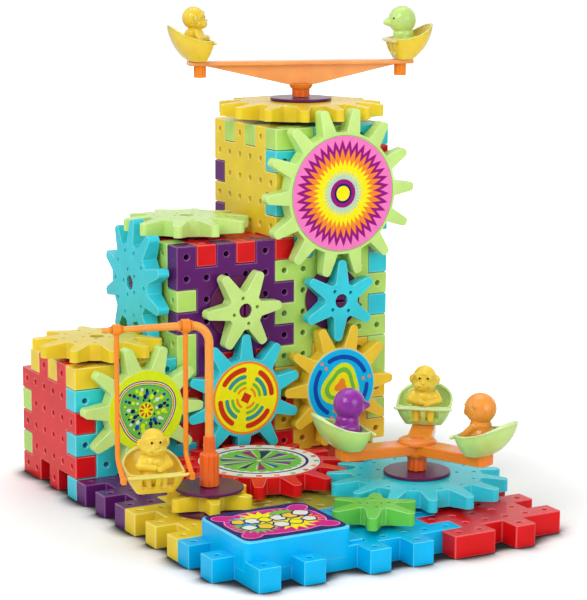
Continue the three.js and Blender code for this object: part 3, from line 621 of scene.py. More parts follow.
def gearMesh(teeth):
    look = gearLook
    pitchRadius = teeth * cell / 4
    tipRadius = pitchRadius + look["tip"] * cell
    rootRadius = pitchRadius - look["root"] * cell
    tipHalf = look["tipWidth"] * cell / 2
    rootHalf = min(look["rootWidth"] * cell / 2, rootRadius * math.sin(math.pi / teeth) * look["crowding"])
    middle = gearFoot + gearThickness / 2
    rows = [(rootRadius, rootHalf, 1.0)]
    for step in range(look["tipSteps"]):
        angle = math.radians(look["tipSweep"]) * step / (look["tipSteps"] - 1)
        rows.append((
            tipRadius - tipHalf * look["roundness"] * (1 - math.sin(angle)),
            tipHalf * math.cos(angle) ** look["tipPower"],
            1 - look["thinning"] * (1 + look["tipThinning"] * math.sin(angle)),
        ))
    bm = bmesh.new()

    def pair(point, thick=1.0):
        return [bm.verts.new((*point, middle + level * thick * gearThickness / 2)) for level in (-1, 1)]

    def band(a, b):
        bm.faces.new((a[0], b[0], b[1], a[1]))

    hub = [pair(polar(look["hubRadius"], angle)) for angle in circle(teeth * 2, -0.5)]
    share = math.cos(math.pi / teeth - math.atan2(rootHalf, rootRadius))
    deep = math.hypot(rootRadius, rootHalf) * share
    teethRows, valleys = [], []
    for angle in circle(teeth):
        c, s = polar(1, angle)
        teethRows.append([
            [pair((r * c - side * h * s, r * s + side * h * c), thick) for side in (-1, 1)]
            for r, h, thick in rows
        ])
        valleys.append(pair(polar(deep, angle + math.pi / teeth)))
    for tooth, (here, valley) in enumerate(zip(teethRows, valleys)):
        after = teethRows[(tooth + 1) % teeth]
        first, second, third = (hub[(tooth * 2 + step) % (teeth * 2)] for step in range(3))
        for inner, outer in zip(here, here[1:]):
            for level in (0, 1):
                bm.faces.new((inner[0][level], outer[0][level], outer[1][level], inner[1][level]))
            band(inner[0], outer[0])
            band(inner[1], outer[1])
        band(here[-1][0], here[-1][1])
        band(here[0][1], valley)
        band(valley, after[0][0])
        for level in (0, 1):
            left, right, low = here[0][0][level], here[0][1][level], valley[level]
            bm.faces.new((first[level], left, right, second[level]))
            bm.faces.new((second[level], right, low, after[0][0][level], third[level]))
        band(first, second)
        band(second, third)
    return bm


def makeGears():
    look = gearLook
    size = look["dotRadius"]
    for name, (teeth, *_) in gears.items():
        colour = name.split("_")[1]
        tone = "paleLime" if colour == "lime" else colour
        piece = meshObject(name + "_moulded", gearMesh(teeth), plastic[tone])
        # the rounded edges take the painted highlight colour
        roundEdges(piece, *look["edge"], edge[tone])
        dots = []
        for radius, count, shift in dotRings[teeth]:
            for angle in circle(count, shift * count / teeth):
                dots.append(oval(*polar(radius * cell, angle), size, size, 0.0, look["dotSides"]))
        carve(piece, prisms(dots, gearHead - look["dotDepth"], gearHead + 1))
        settle(piece, atRest(name), bodyOf(name), name, look["shadeAngle"])


makeGears()
print("gears made")


# Axle discs: a thin plum disc under each gear, with a split stub through its hub

axleLook = {
    "slot": 1.1, "stubTop": 1.2, "stubPaintedHighlight": (0.35, 2, 40), "stubSteps": 12, "discSides": 72,
    "shadeAngle": 45, "uprightSlots": ("gear_lime_star",),
}


def plumDisc(name, low):
    bm = drum(axleDiscRadius, low, low + axleDiscThickness, axleDiscEdge, axleLook["discSides"])
    return meshObject(name, bm, plastic["plum"])


def makeAxles():
    look = axleLook
    low, top = gap / 2, gearHead - look["stubTop"]
    foot = low + axleDiscThickness - gap
    start = math.degrees(math.asin(look["slot"] / 2 / stubRadius))
    for gear, (*_, node) in gears.items():
        if not node:
            continue
        parts = [plumDisc("axleDisc_" + gear, low)]
        for side in (-1, 1):
            outline = [(x, side * y) for x, y in arc(stubRadius, start, 180 - start, look["stubSteps"])]
            half = meshObject("stubHalf", prisms([outline], foot, top), plastic["plum"])
            parts.append(roundEdges(half, *look["stubPaintedHighlight"]))
        turn = math.pi / 2 if gear in look["uprightSlots"] else 0
        settle(joined(parts), onGear(gear, turn), "frame", node, look["shadeAngle"])


makeAxles()
print("axles made")


# Printed discs on the gears, drawn as rings whose edges follow a formula

labelLook = {
    "thickness": 0.22, "steps": 304, "raise": 0.06, "seed": 5, "largeRadius": 33.4, "pondTurn": 2.36,
    "meadowTurn": 0.5, "capSteps": 5,
}


# Rings from the middle outwards: each is (outer edge as a share of the radius, ink), and either may be
# a function of the angle; extra outlines lie on top
def ringLabel(name, radius, rings, extra=()):
    bm = bmesh.new()
    steps, level = labelLook["steps"], labelLook["thickness"]
    inks = []

    def paint(made, shade):
        for index, face in enumerate(made):
            colour = shade(fullTurn * (index + 0.5) / steps) if callable(shade) else shade
            if colour not in inks:
                inks.append(colour)
            face.material_index = inks.index(colour)

    inner = [bm.verts.new((0, 0, level))]
    for border, shade in rings:
        outer = []
        for angle in circle(steps):
            share = border(angle) if callable(border) else border
            outer.append(bm.verts.new((*polar(radius * share, angle), level)))
        paint(bridge(bm, inner, outer), shade)
        inner = outer
    under = [bm.verts.new((v.co.x, v.co.y, 0)) for v in inner]
    paint(bridge(bm, under, inner) + [bm.faces.new(under[::-1])], "white")
    parts = [meshObject(name, bm, *[ink[colour] for colour in inks])]
    for colour, outlines in extra:
        parts.append(meshObject("spots", prisms(outlines, level, level + labelLook["raise"]), ink[colour]))
    return joined(parts)


# Band between two radii and two angles in degrees, with round ends
def arcBand(inner, outer, start, end, steps=14):
    mid, half = (inner + outer) / 2, (outer - inner) / 2

    def cap(side, angle):
        turns = (math.pi * step / labelLook["capSteps"] for step in range(1, labelLook["capSteps"]))
        return [polar(mid + side * half * math.cos(a), math.radians(angle) + side * half * math.sin(a) / mid)
                for a in turns]

    return arc(outer, start, end, steps) + cap(1, end) + arc(inner, end, start, steps) + cap(-1, start)


def zigzag(mean, depth, points, turn=0.0):
    return lambda angle: mean + depth * (abs((angle * points / fullTurn + turn) % 1.0 - 0.5) * 4 - 1)


def lobes(mean, depth, count, turn=0.0):
    return lambda angle: mean + depth * math.cos(count * angle + turn)


def wedges(count, inks):
    return lambda angle: inks[int(angle / fullTurn * count) % len(inks)]


def sunLabel():
    points = 38
    return ringLabel("sunLabel", labelLook["largeRadius"], (
        (0.13, "lemon"), (0.17, "navy"), (0.245, "magenta"), (0.27, "pearl"),
        (zigzag(0.345, 0.055, points), "pearl"), (zigzag(0.53, 0.06, points), "lemon"),
        (zigzag(0.69, 0.09, points, 0.5), "orange"), (zigzag(0.835, 0.085, points, 0.5), "magenta"),
        (0.985, "pink"), (1.0, "leaf"),
    ))


# Pinwheel of thin blades on green, with a white rim of short coloured ticks
def windmillLabel():
    radius = labelLook["largeRadius"]
    ticks = ("white", "white", "rust", "white", "white", "orange", "white", "white", "leaf")
    rings = (
        (0.04, "white"), (zigzag(0.70, 0.025, 26), "leaf"), (0.765, "white"), (0.815, "navy"),
        (0.90, "white"), (0.985, wedges(60, ticks)), (1.0, "white"),
    )
    blades = {"white": [], "violet": [], "navy": [], "magenta": [], "cobalt": []}
    order = ("violet", "navy", "magenta", "cobalt", "violet")
    random.seed(labelLook["seed"])
    for blade, a in enumerate(circle(11)):
        far = (0.52 + 0.15 * random.random()) * radius
        wide = 0.17 + 0.16 * random.random()
        blades[order[blade % 5]].append([polar(*tip) for tip in (
            (0.06 * radius, a), (far, a + 0.02), (far * 0.93, a + wide), (far * 0.55, a + wide * 0.8))])
        blades["white"].append([polar(*tip) for tip in (
            (0.14 * radius, a - 0.16), (far * 0.98, a - 0.05), (far * 0.90, a - 0.02))])
    return ringLabel("windmillLabel", radius, rings, blades.items())


# Four fans of nested arcs round a small square
def rippleLabel():
    radius = 21.2
    bands = {
        colour: [arcBand(inner * radius, outer * radius, 90 * fan - 12, 90 * fan + 40) for fan in range(4)]
        for colour, inner, outer in (
            ("rust", 0.70, 0.845), ("aqua", 0.52, 0.635), ("leaf", 0.37, 0.455), ("orange", 0.24, 0.305),
        )
    }
    square = 0.17 * radius
    bands["rust"].append([(square, 0), (0, square), (-square, 0), (0, -square)])
    return ringLabel("rippleLabel", radius, ((0.93, "lemon"), (1.0, "orange")), bands.items())


# Nested rounded triangles inside three arcs, with pairs of dots between the arcs
def pondLabel():
    radius, turn = 22.4, labelLook["pondTurn"]
    rings = [(lobes(mean, depth, 3, turn), colour) for mean, depth, colour in (
        (0.17, 0.04, "orange"), (0.32, 0.05, "lemon"), (0.44, 0.06, "leaf"), (0.56, 0.06, "lemonLime"))]
    rings += [(0.97, "blue"), (1.0, "pearl")]
    gaps = (10, 130, 250)
    arcs = [arcBand(0.71 * radius, 0.83 * radius, start + 14, start + 106) for start in gaps]
    dot = 0.045 * radius
    dots = [
        oval(*polar(far * radius, math.radians(angle)), dot, dot) for angle in gaps for far in (0.68, 0.86)
    ]
    return ringLabel("pondLabel", radius, rings, (("cobalt", arcs), ("orange", dots)))


# Scattered dots round a spoked wheel, inside thin rings and a wide bright rim
def meadowLabel():
    radius, turn = 22.3, labelLook["meadowTurn"]
    rings = [(0.07, "lemon"), (0.18, wedges(16, ("rust", "lemonLime"))), (0.205, "lemonLime")]
    rings += [(lobes(mean, 0.05, 3, turn), colour) for mean, colour in (
        (0.67, "leaf"), (0.70, "aqua"), (0.725, "lemonLime"), (0.75, "rust"), (0.775, "white"),
        (0.80, "navy"),
    )]
    rings.append((1.0, "lemonLime"))
    dots = {"lemonLime": [], "white": [], "navy": [], "cobalt": []}
    order = ("navy", "cobalt", "lemonLime", "navy", "lemonLime", "navy", "white")
    random.seed(labelLook["seed"] + 1)
    for ring, count, size in ((0.27, 11, 0.034), (0.365, 13, 0.056), (0.465, 16, 0.058), (0.555, 22, 0.040)):
        for dot in range(count):
            a = fullTurn * (dot + 0.3 * random.random()) / count
            r = (ring * (1 + 0.10 * math.cos(3 * a + turn)) + 0.02 * random.random()) * radius
            near = size * (0.8 + 0.5 * random.random()) * radius
            dots[order[(dot * 3 + count) % 7]].append(oval(*polar(r, a), near, near * 0.8, a))
    return ringLabel("meadowLabel", radius, rings, dots.items())


for gear, makeLabel in (
    ("gear_lime_large", sunLabel), ("gear_red_flat", windmillLabel), ("gear_teal_low", rippleLabel),
    ("gear_amber_low", pondLabel), ("gear_lime_low", meadowLabel),
):
    settle(makeLabel(), atRest(gear, gearHead), bodyOf(gear))
print("printed discs made")


# Motor unit

motorLook = {
    # left, right, front and back side of the box in cells
    "sides": (1, 5.75, 1, 5), "plateEnd": 10, "wall": 1.6, "boxHeight": 9.9, "cornerRadius": 3.4,
    "boxPaintedHighlight": (1.1, 3, 60), "shadeAngle": 45, "slotHalf": 4.8, "slotRise": 1.8,
    "ledgeWidth": 9, "ledgeHeight": 1.3, "ledgeFoot": -1, "ledgeRadius": 1.2, "ledgePaintedHighlight": (0.5, 2, 60),
    "labelInset": 0.9, "labelRadius": 5, "labelFoot": 0.08, "labelStep": 0.012, "seed": 7,
    "cloudBumps": 8, "cloudDepth": 0.03, "cloudPower": 0.55, "padPlace": (0.74, 0.64), "padTurn": 0.5,
    # colour, half sizes as shares of the label's, and half sizes of the pads at the corners
    "clouds": (("pink", 0.88, 0.80, 6.3, 5.1), ("cerise", 0.85, 0.76, 5.6, 4.4)),
    # colour, place as shares of the half sizes, radius, points and depth of each burst
    "bursts": (
        ("leaf", -0.44, -0.12, 12.8, 19, 0.62), ("leaf", 0.34, 0.28, 10.5, 15, 0.66),
        ("blue", -0.50, 0.24, 9.0, 13, 0.60), ("orange", 0.52, -0.14, 10.0, 14, 0.60),
        ("lemon", 0.22, -0.24, 13.0, 13, 0.56), ("lemon", -0.16, 0.30, 12.0, 12, 0.56),
    ),
    # how many tiles a row has, and how high it lies
    "tileRows": ((5, -0.27), (6, 0.15)), "tileReach": 0.74, "rowBend": 0.14, "tileDepth": 0.84,
    "tileSize": 4.1, "tileSpread": (0.92, 0.22), "tileLean": (0.35, 0.3), "tileBorder": 1.26,
    "tiles": ("white", "amber", "white", "lemon"),
}


def makeMotorUnit():
    look, blue = motorLook, plastic["blue"]
    wall, height, corner = look["wall"], look["boxHeight"], look["cornerRadius"]
    left, right, front, back = (side * cell for side in look["sides"])
    inner = (left + wall, right - wall, front + wall, back - wall)
    top, bottom = -gap / 2, gap / 2 - cell
    underBox = {(column, row) for column in range(1, 6) for row in range(1, 5)}
    plate = meshObject("motorPlate", plateMesh(plateCells(wide=2), underBox), blue)
    carve(plate, blockMesh(*inner, bottom - gap, top + gap))
    carve(plate, blockMesh(
        inner[1] - gap, look["plateEnd"] * cell - wall, *inner[2:], bottom - gap, top - wall))
    roundPlate(plate, "blue")
    boxOutline = roundedOutline(left, right, front, back, corner)
    box = meshObject("motorBox", prisms([boxOutline], -cell / 2, height), blue)
    # the box's rounded edges take the painted highlight colour
    roundEdges(box, *look["boxPaintedHighlight"], edge["blue"])
    carve(box, blockMesh(*inner, -cell, height - wall))
    switch, rise = (left + right) / 2, look["slotRise"]
    carve(box, blockMesh(
        switch - look["slotHalf"], switch + look["slotHalf"], back - wall - gap, back + gap,
        height / 2 - rise, height / 2 + rise))
    ledgeOutline = roundedOutline(
        right - wall, right + look["ledgeWidth"], front + corner, back - corner, look["ledgeRadius"])
    ledge = meshObject("motorLedge", prisms([ledgeOutline], look["ledgeFoot"], look["ledgeHeight"]), blue)
    # the ledge's rounded edges take the painted highlight colour
    roundEdges(ledge, *look["ledgePaintedHighlight"], edge["blue"])
    for piece in (plate, box, ledge):
        settle(piece, onFace("top", (0, 0, 1)), "frame", "motor_housing", look["shadeAngle"])


# Power of a value that keeps its sign
def bowed(value, power):
    return math.copysign(abs(value) ** power, value)


# Wavy closed outline round a rounded box
def cloudOutline(cx, cy, halfX, halfY):
    out = []
    for a in circle(96):
        swell = 1 + motorLook["cloudDepth"] * math.cos(motorLook["cloudBumps"] * a)
        x, y = (bowed(value, motorLook["cloudPower"]) for value in polar(1, a))
        out.append((cx + x * halfX * swell, cy + y * halfY * swell))
    return out


def starOutline(cx, cy, radius, points, inner, turn):
    spots = (polar(radius * (inner if step % 2 else 1.0), math.pi * step / points + turn)
             for step in range(points * 2))
    return [(cx + x, cy + y) for x, y in spots]


def makeBoxLabel():
    look = motorLook
    random.seed(look["seed"])
    left, right, front, back = (side * cell for side in look["sides"])
    inset = look["labelInset"]
    sides = (left + inset, right - inset, front + inset, back - inset)
    cx, cy = (sides[0] + sides[1]) / 2, (sides[2] + sides[3]) / 2
    halfX, halfY = (sides[1] - sides[0]) / 2, (sides[3] - sides[2]) / 2
    layers = [("navy", roundedOutline(*sides, look["labelRadius"], 8))]
    for colour, wide, high, long, short in look["clouds"]:
        layers.append((colour, cloudOutline(cx, cy, halfX * wide, halfY * high)))
        for sx, sy in ((-1, -1), (1, -1), (1, 1), (-1, 1)):
            x, y = cx + sx * halfX * look["padPlace"][0], cy + sy * halfY * look["padPlace"][1]
            layers.append((colour, oval(x, y, long, short, sx * sy * look["padTurn"], 30)))
    for colour, x, y, radius, points, inner in look["bursts"]:
        layers.append((colour, starOutline(cx + x * halfX, cy + y * halfY, radius, points, inner, x * 9)))
    # two bent rows of chunky tiles, each on a dark edge
    for row, (count, lift) in enumerate(look["tileRows"]):
        for place in range(count):
            share = (place + 0.5) / count * 2 - 1
            x = cx + halfX * look["tileReach"] * share
            y = cy + halfY * (lift + look["rowBend"] * share * share)
            least, spread = look["tileSpread"]
            size = look["tileSize"] * (least + spread * random.random())
            fan, chance = look["tileLean"]
            lean = fan * share + chance * (random.random() - 0.5)
            colour = look["tiles"][(place + row) % len(look["tiles"])]
            for tone, grown in (("navy", look["tileBorder"]), (colour, 1.0)):
                corners = 4 + (place + row) % 3
                layers.append((tone, starOutline(x, y, size * grown, corners, look["tileDepth"], lean)))
    # each outline has a level of its own, so that none lies in the face of another
    sheets = []
    for index, (colour, outline) in enumerate(layers):
        level = look["labelFoot"] + index * look["labelStep"]
        sheets.append(meshObject("motorBoxLabel", prisms([outline], 0, level), ink[colour]))
    settle(joined(sheets), onFace("top", (0, 0, 1)) @ moved(0, 0, look["boxHeight"]), "frame")


makeMotorUnit()
makeBoxLabel()
print("motor unit made")


# Seats

seats = {
    "ride": {"length": 28.2, "width": 31.0, "lip": 10.6, "tip": 19.2, "roll": 0.75, "rider": 31.8},
    "seesaw": {"length": 25.6, "width": 28.0, "lip": 11.4, "tip": 20.4, "roll": 0.0, "rider": 30.2},
}
seatLook = {
    "wall": 1.5, "ear": 0.7, "floorMiddle": 0.35, "floorHalf": 0.2, "floorWidth": 0.66, "swell": 1.6,
    "rimPower": 2.4, "rimRadius": 0.62, "rollPower": 4, "front": 0.35, "back": 0.9,
    "window": 0.277, "windowRadius": 1.1, "sill": 2.4, "post": 2.4, "bar": 1.7, "barStand": 0.35,
    "around": 72, "levels": 12, "levelPower": 1.15, "shadeAngle": 38,
    # share of the half width, lift and radius at each point of the lap bar
    "barPoints": ((-1, 0.5, 0.55), (-0.93, 0.15, 0.9), (-0.8, 0, 1.0), (0.8, 0, 1.0), (0.93, 0.15, 0.9),
                  (1, 0.5, 0.55)),
}


def seatPoint(seat, level, angle, inset):
    look = seatLook
    spread = 1 - (1 - level) ** look["swell"]
    middle = seat["length"] * (look["floorMiddle"] + (0.5 - look["floorMiddle"]) * spread)
    halfLong = seat["length"] * (look["floorHalf"] + (0.5 - look["floorHalf"]) * spread) - inset
    halfWide = seat["width"] / 2 * (look["floorWidth"] + (1 - look["floorWidth"]) * spread) - inset
    c, s = polar(1, angle)
    power = look["front"] if c < 0 else look["back"]
    x = middle + halfLong * bowed(c, power)
    rim = seat["lip"] + (seat["tip"] - seat["lip"]) * max(0.0, x / seat["length"]) ** look["rimPower"]
    return Vector((x, halfWide * bowed(s, power), inset * (1 - level) + rim * level))


def seatMesh(seat):
    levels = range(seatLook["levels"] + 1)
    turns = circle(seatLook["around"], 0.5)
    bm = bmesh.new()
    rings = []
    for inset, order in ((0, levels), (seatLook["wall"], levels[::-1])):
        for level in order:
            share = (level / seatLook["levels"]) ** seatLook["levelPower"]
            rings.append([bm.verts.new(seatPoint(seat, share, angle, inset)) for angle in turns])
    for low, high in zip(rings, rings[1:]):
        bridge(bm, low, high)
    bm.faces.new(rings[0][::-1])
    bm.faces.new(rings[-1])
    return bm


def makeSeat(name, seat, colour):
    look = seatLook
    shell = meshObject(name, seatMesh(seat), clear[colour])
    back = seat["length"] * (look["floorMiddle"] - look["floorHalf"])
    for side in (-1, 1):
        edges = sorted((side * look["post"] / 2, side * seat["width"] * look["window"]))
        outline = roundedOutline(*edges, look["sill"], seat["lip"] - look["bar"], look["windowRadius"])
        window = prisms([outline], -look["wall"] * 2, back)
        window.transform(Matrix(((0, 0, 1, 0), (1, 0, 0, 0), (0, 1, 0, 0), (0, 0, 0, 1))))
        carve(shell, window)
    rim = [(seatPoint(seat, 1.0, angle, 0) + seatPoint(seat, 1.0, angle, look["wall"])) / 2
           for angle in circle(look["around"], 0.5)]
    # the rolled rim thickens towards the back of the seat
    shares = (max(0.0, point.x / seat["length"]) ** look["rollPower"] for point in rim)
    thick = [look["rimRadius"] + seat["roll"] * share for share in shares]
    # the rim bead and the lap bar take the paler painted highlight colour
    bead = meshObject("bead", tube(rim, thick, 10, closed=True), clearHighlight[colour])
    half, level = seat["width"] / 2 + look["ear"], seat["lip"] - look["bar"] / 2
    points = [(look["barStand"], half * share, level + lift) for share, lift, _ in look["barPoints"]]
    bar = meshObject("lapBar", tube(points, [point[2] for point in look["barPoints"]], 14), clearHighlight[colour])
    piece = joined([shell, bead, bar])
    smooth(piece, look["shadeAngle"], weighted=False)
    return piece


# Riders: balls and limbs melted into one skin


# Rows with their mirror images, unless they start in the middle; only the first points have a side
def bothSides(points, rows):
    out = []
    for row in rows:
        out.append(row)
        if row[0][1]:
            out.append([(x, -y, z) for x, y, z in row[:points]] + list(row[points:]))
    return out


# middle and half sizes of each ball, ends and radii of each limb, in shares of the height, facing -X
sittingLegs = (
    ((0.0, 0.12, 0.12), (-0.14, 0.13, 0.19), 0.095, 0.085),
    ((-0.14, 0.13, 0.19), (-0.15, 0.125, 0.05), 0.08, 0.06),
)
riderShapes = {
    "monkey": {
        "balls": bothSides(1, (
            ((0.02, 0, 0.25), (0.225, 0.225, 0.26)), ((0.01, 0, 0.45), (0.19, 0.20, 0.14)),
            ((0.025, 0, 0.765), (0.22, 0.205, 0.215)), ((-0.02, 0, 0.67), (0.175, 0.22, 0.125)),
            ((-0.135, 0.072, 0.785), (0.045, 0.070, 0.062)), ((-0.140, 0, 0.650), (0.100, 0.185, 0.092)),
            ((-0.168, 0, 0.715), (0.055, 0.070, 0.050)), ((-0.230, 0, 0.715), (0.020, 0.044, 0.018)),
            ((0.02, 0.215, 0.735), (0.030, 0.060, 0.085)),
        )),
        "limbs": bothSides(2, (
            ((-0.02, 0.195, 0.72), (-0.115, 0.145, 0.835), 0.030, 0.032),
            ((-0.115, 0.145, 0.835), (-0.160, 0, 0.865), 0.032, 0.034),
            ((0.0, 0.18, 0.49), (-0.05, 0.245, 0.38), 0.075, 0.078), *sittingLegs,
        )) + [
            ((-0.05, 0.245, 0.38), (-0.225, 0.04, 0.385), 0.075, 0.062),
            ((-0.05, -0.245, 0.38), (-0.225, -0.05, 0.35), 0.075, 0.062),
        ],
        "eye": ((-0.177, 0.070, 0.785), (0.014, 0.019, 0.022)),
        # middle of the smile, its drop and half width, and thickness of the groove
        "smile": ((-0.152, 0.705), 0.095, 0.125, 0.012),
    },
    "cub": {
        "balls": bothSides(1, (
            ((0.03, 0, 0.24), (0.22, 0.225, 0.24)), ((0.01, 0, 0.43), (0.185, 0.19, 0.13)),
            ((0.0, 0, 0.715), (0.27, 0.262, 0.262)), ((-0.20, 0, 0.635), (0.10, 0.14, 0.09)),
            ((-0.296, 0, 0.67), (0.020, 0.035, 0.022)), ((0.05, 0.225, 0.80), (0.05, 0.06, 0.06)),
        )),
        "limbs": bothSides(2, (((0.0, 0.17, 0.44), (-0.17, 0.20, 0.27), 0.075, 0.07), *sittingLegs)),
        "eye": ((-0.252, 0.082, 0.755), (0.014, 0.020, 0.019)),
        "smile": ((-0.215, 0.70), 0.10, 0.09, 0.010),
    },
    "chick": {
        "balls": bothSides(1, (
            ((0.04, 0, 0.23), (0.245, 0.22, 0.23)), ((0.0, 0, 0.70), (0.270, 0.260, 0.272)),
            ((0.03, 0, 0.42), (0.205, 0.19, 0.17)), ((0.25, 0, 0.33), (0.07, 0.06, 0.06)),
            ((0.05, 0.205, 0.28), (0.15, 0.05, 0.11)),
        )),
        "limbs": bothSides(2, (
            ((-0.16, 0, 0.67), (-0.325, 0, 0.655), 0.13, 0.055),
            ((-0.05, 0.10, 0.10), (-0.15, 0.11, 0.05), 0.07, 0.05),
        )),
        "eye": ((-0.208, 0.156, 0.735), (0.018, 0.016, 0.020)),
    },
}
# sit is where a loose or a moulded rider sits, as a share of the seat's length
riderLook = {
    "voxel": 0.34, "smooth": 0.5, "passes": 5, "limbSteps": 8,
    "smileSpan": 60, "smileSteps": 12, "smileBulge": 0.085, "smileWidth": 0.9, "smileBend": 1.2,
    "sit": {"loose": 0.3, "moulded": 0.38},
}


def addBall(bm, middle, half, fine=3):
    matrix = Matrix.Translation(middle) @ Matrix.Diagonal((*half, 1))
    bmesh.ops.create_icosphere(bm, subdivisions=fine, radius=1, matrix=matrix)


def ballMesh(balls, size):
    bm = bmesh.new()
    for middle, half in balls:
        addBall(bm, Vector(middle) * size, Vector(half) * size)
    return bm


def makeRider(name, shape, size, colour):
    look, form = riderLook, riderShapes[shape]
    bm = ballMesh(form["balls"], size)
    for start, end, thick, thin in form["limbs"]:
        for step in range(look["limbSteps"] + 1):
            share = step / look["limbSteps"]
            radius = (thick + (thin - thick) * share) * size
            addBall(bm, Vector(start).lerp(Vector(end), share) * size, [radius] * 3, 2)
    skin = meshObject(name, bm, clear[colour])
    melt = skin.modifiers.new("melt", "REMESH")
    melt.mode = "VOXEL"
    melt.voxel_size = look["voxel"] * mm
    relax = skin.modifiers.new("relax", "SMOOTH")
    relax.factor = look["smooth"]
    relax.iterations = look["passes"]
    applyModifiers(skin)
    if "smile" in form:
        (x, z), drop, wide, thick = form["smile"]
        span, steps = math.radians(look["smileSpan"]), look["smileSteps"]
        groove = []
        for step in range(steps + 1):
            a = span * (step * 2 / steps - 1)
            across = wide * math.sin(a) / math.sin(span) * look["smileWidth"]
            low = z - drop * math.cos(a * look["smileBend"])
            groove.append(Vector((x - look["smileBulge"] * math.cos(a), across, low)) * size)
        carve(skin, tube(groove, [thick * size] * len(groove), 8))
    skin.data.materials.clear()
    skin.data.materials.append(clear[colour])
    for polygon in skin.data.polygons:
        polygon.material_index = 0
    pupils = meshObject("eyes", ballMesh(bothSides(1, (form["eye"],)), size), plastic["black"])
    for piece in (skin, pupils):
        allSmooth(piece)
    return joined([skin, pupils])


def rideMatrix(gear, degrees):
    return onGear(gear, math.radians(degrees), gearHead + gap)


# Seat and rider at a place whose -X is the way they look
def makeRide(ride, title, shape, colour, seatColour, matrix, body, seatNode, riderNode=None):
    seat = seats["seesaw" if ride == "seesaw" else "ride"]
    settle(makeSeat(f"{ride}Seat{title}", seat, seatColour), matrix, body, seatNode)
    reach = seat["length"] * riderLook["sit"]["loose" if riderNode else "moulded"]
    rider = makeRider(ride + shape.capitalize(), shape, seat["rider"], colour)
    settle(rider, matrix @ moved(reach, 0, seatLook["wall"]), body, riderNode or seatNode)


# Turned disc on top of a gear, for a ride to stand on
def makeTopDisc(ride, matrix, body):
    settle(plumDisc(ride + "Disc", 0), matrix, body, ride + "_disc", axleLook["shadeAngle"])


# Swing

swing = {
    "turn": 168, "height": 87.5, "poleRadius": 2.25, "elbowRadius": 9.6, "armReach": 56.5,
    "tipRadius": 1.3, "tipCap": (0.05, 0.75), "poleFoot": 2, "poleSteps": (12, 24), "poleAngle": 35,
    "sides": {"socket": 96, "pole": 28, "collar": 32, "ring": 40, "rod": 18, "knob": 24},
    "socketRadius": 5.2, "socketHeight": 17.2, "socketPaintedHighlight": 0.7, "neckHeight": 9.4, "neckWall": 0.8,
    "neckFlare": (0.2, 0.1), "flutes": (8, 0.6), "rods": {"Inner": 12.6, "Outer": 48.8}, "rodRadius": 1.3,
    "rodDrop": 68.0, "rodAngle": 38, "kneeReach": 3.5, "kneeFoot": 9, "kneeSteps": 8,
    "ringPlay": 0.4, "ringWall": 1.0, "ringWidth": 4.4, "ringPaintedHighlight": 0.3,
    "collarSide": 3.2, "collarProud": {"Inner": 0.55, "Outer": 0.45}, "collarHalf": 0.5, "collarPaintedHighlight": 0.3,
    "footReach": 14.4, "footHeight": 4.0, "clipPaintedHighlight": (0.7, 3, 35), "seatLift": 2.8,
    "knob": ((0, -0.8), (1.9, -0.8), (2.1, 0), (1.9, 0.8), (0, 0.8)), "knobPaintedHighlight": 0.4,
}


# Turned part, laid along X at a place
def acrossX(bm, x, y, z):
    bm.transform(Matrix.Translation((x, y, z)) @ rotated(math.pi / 2, "Y"))
    return bm


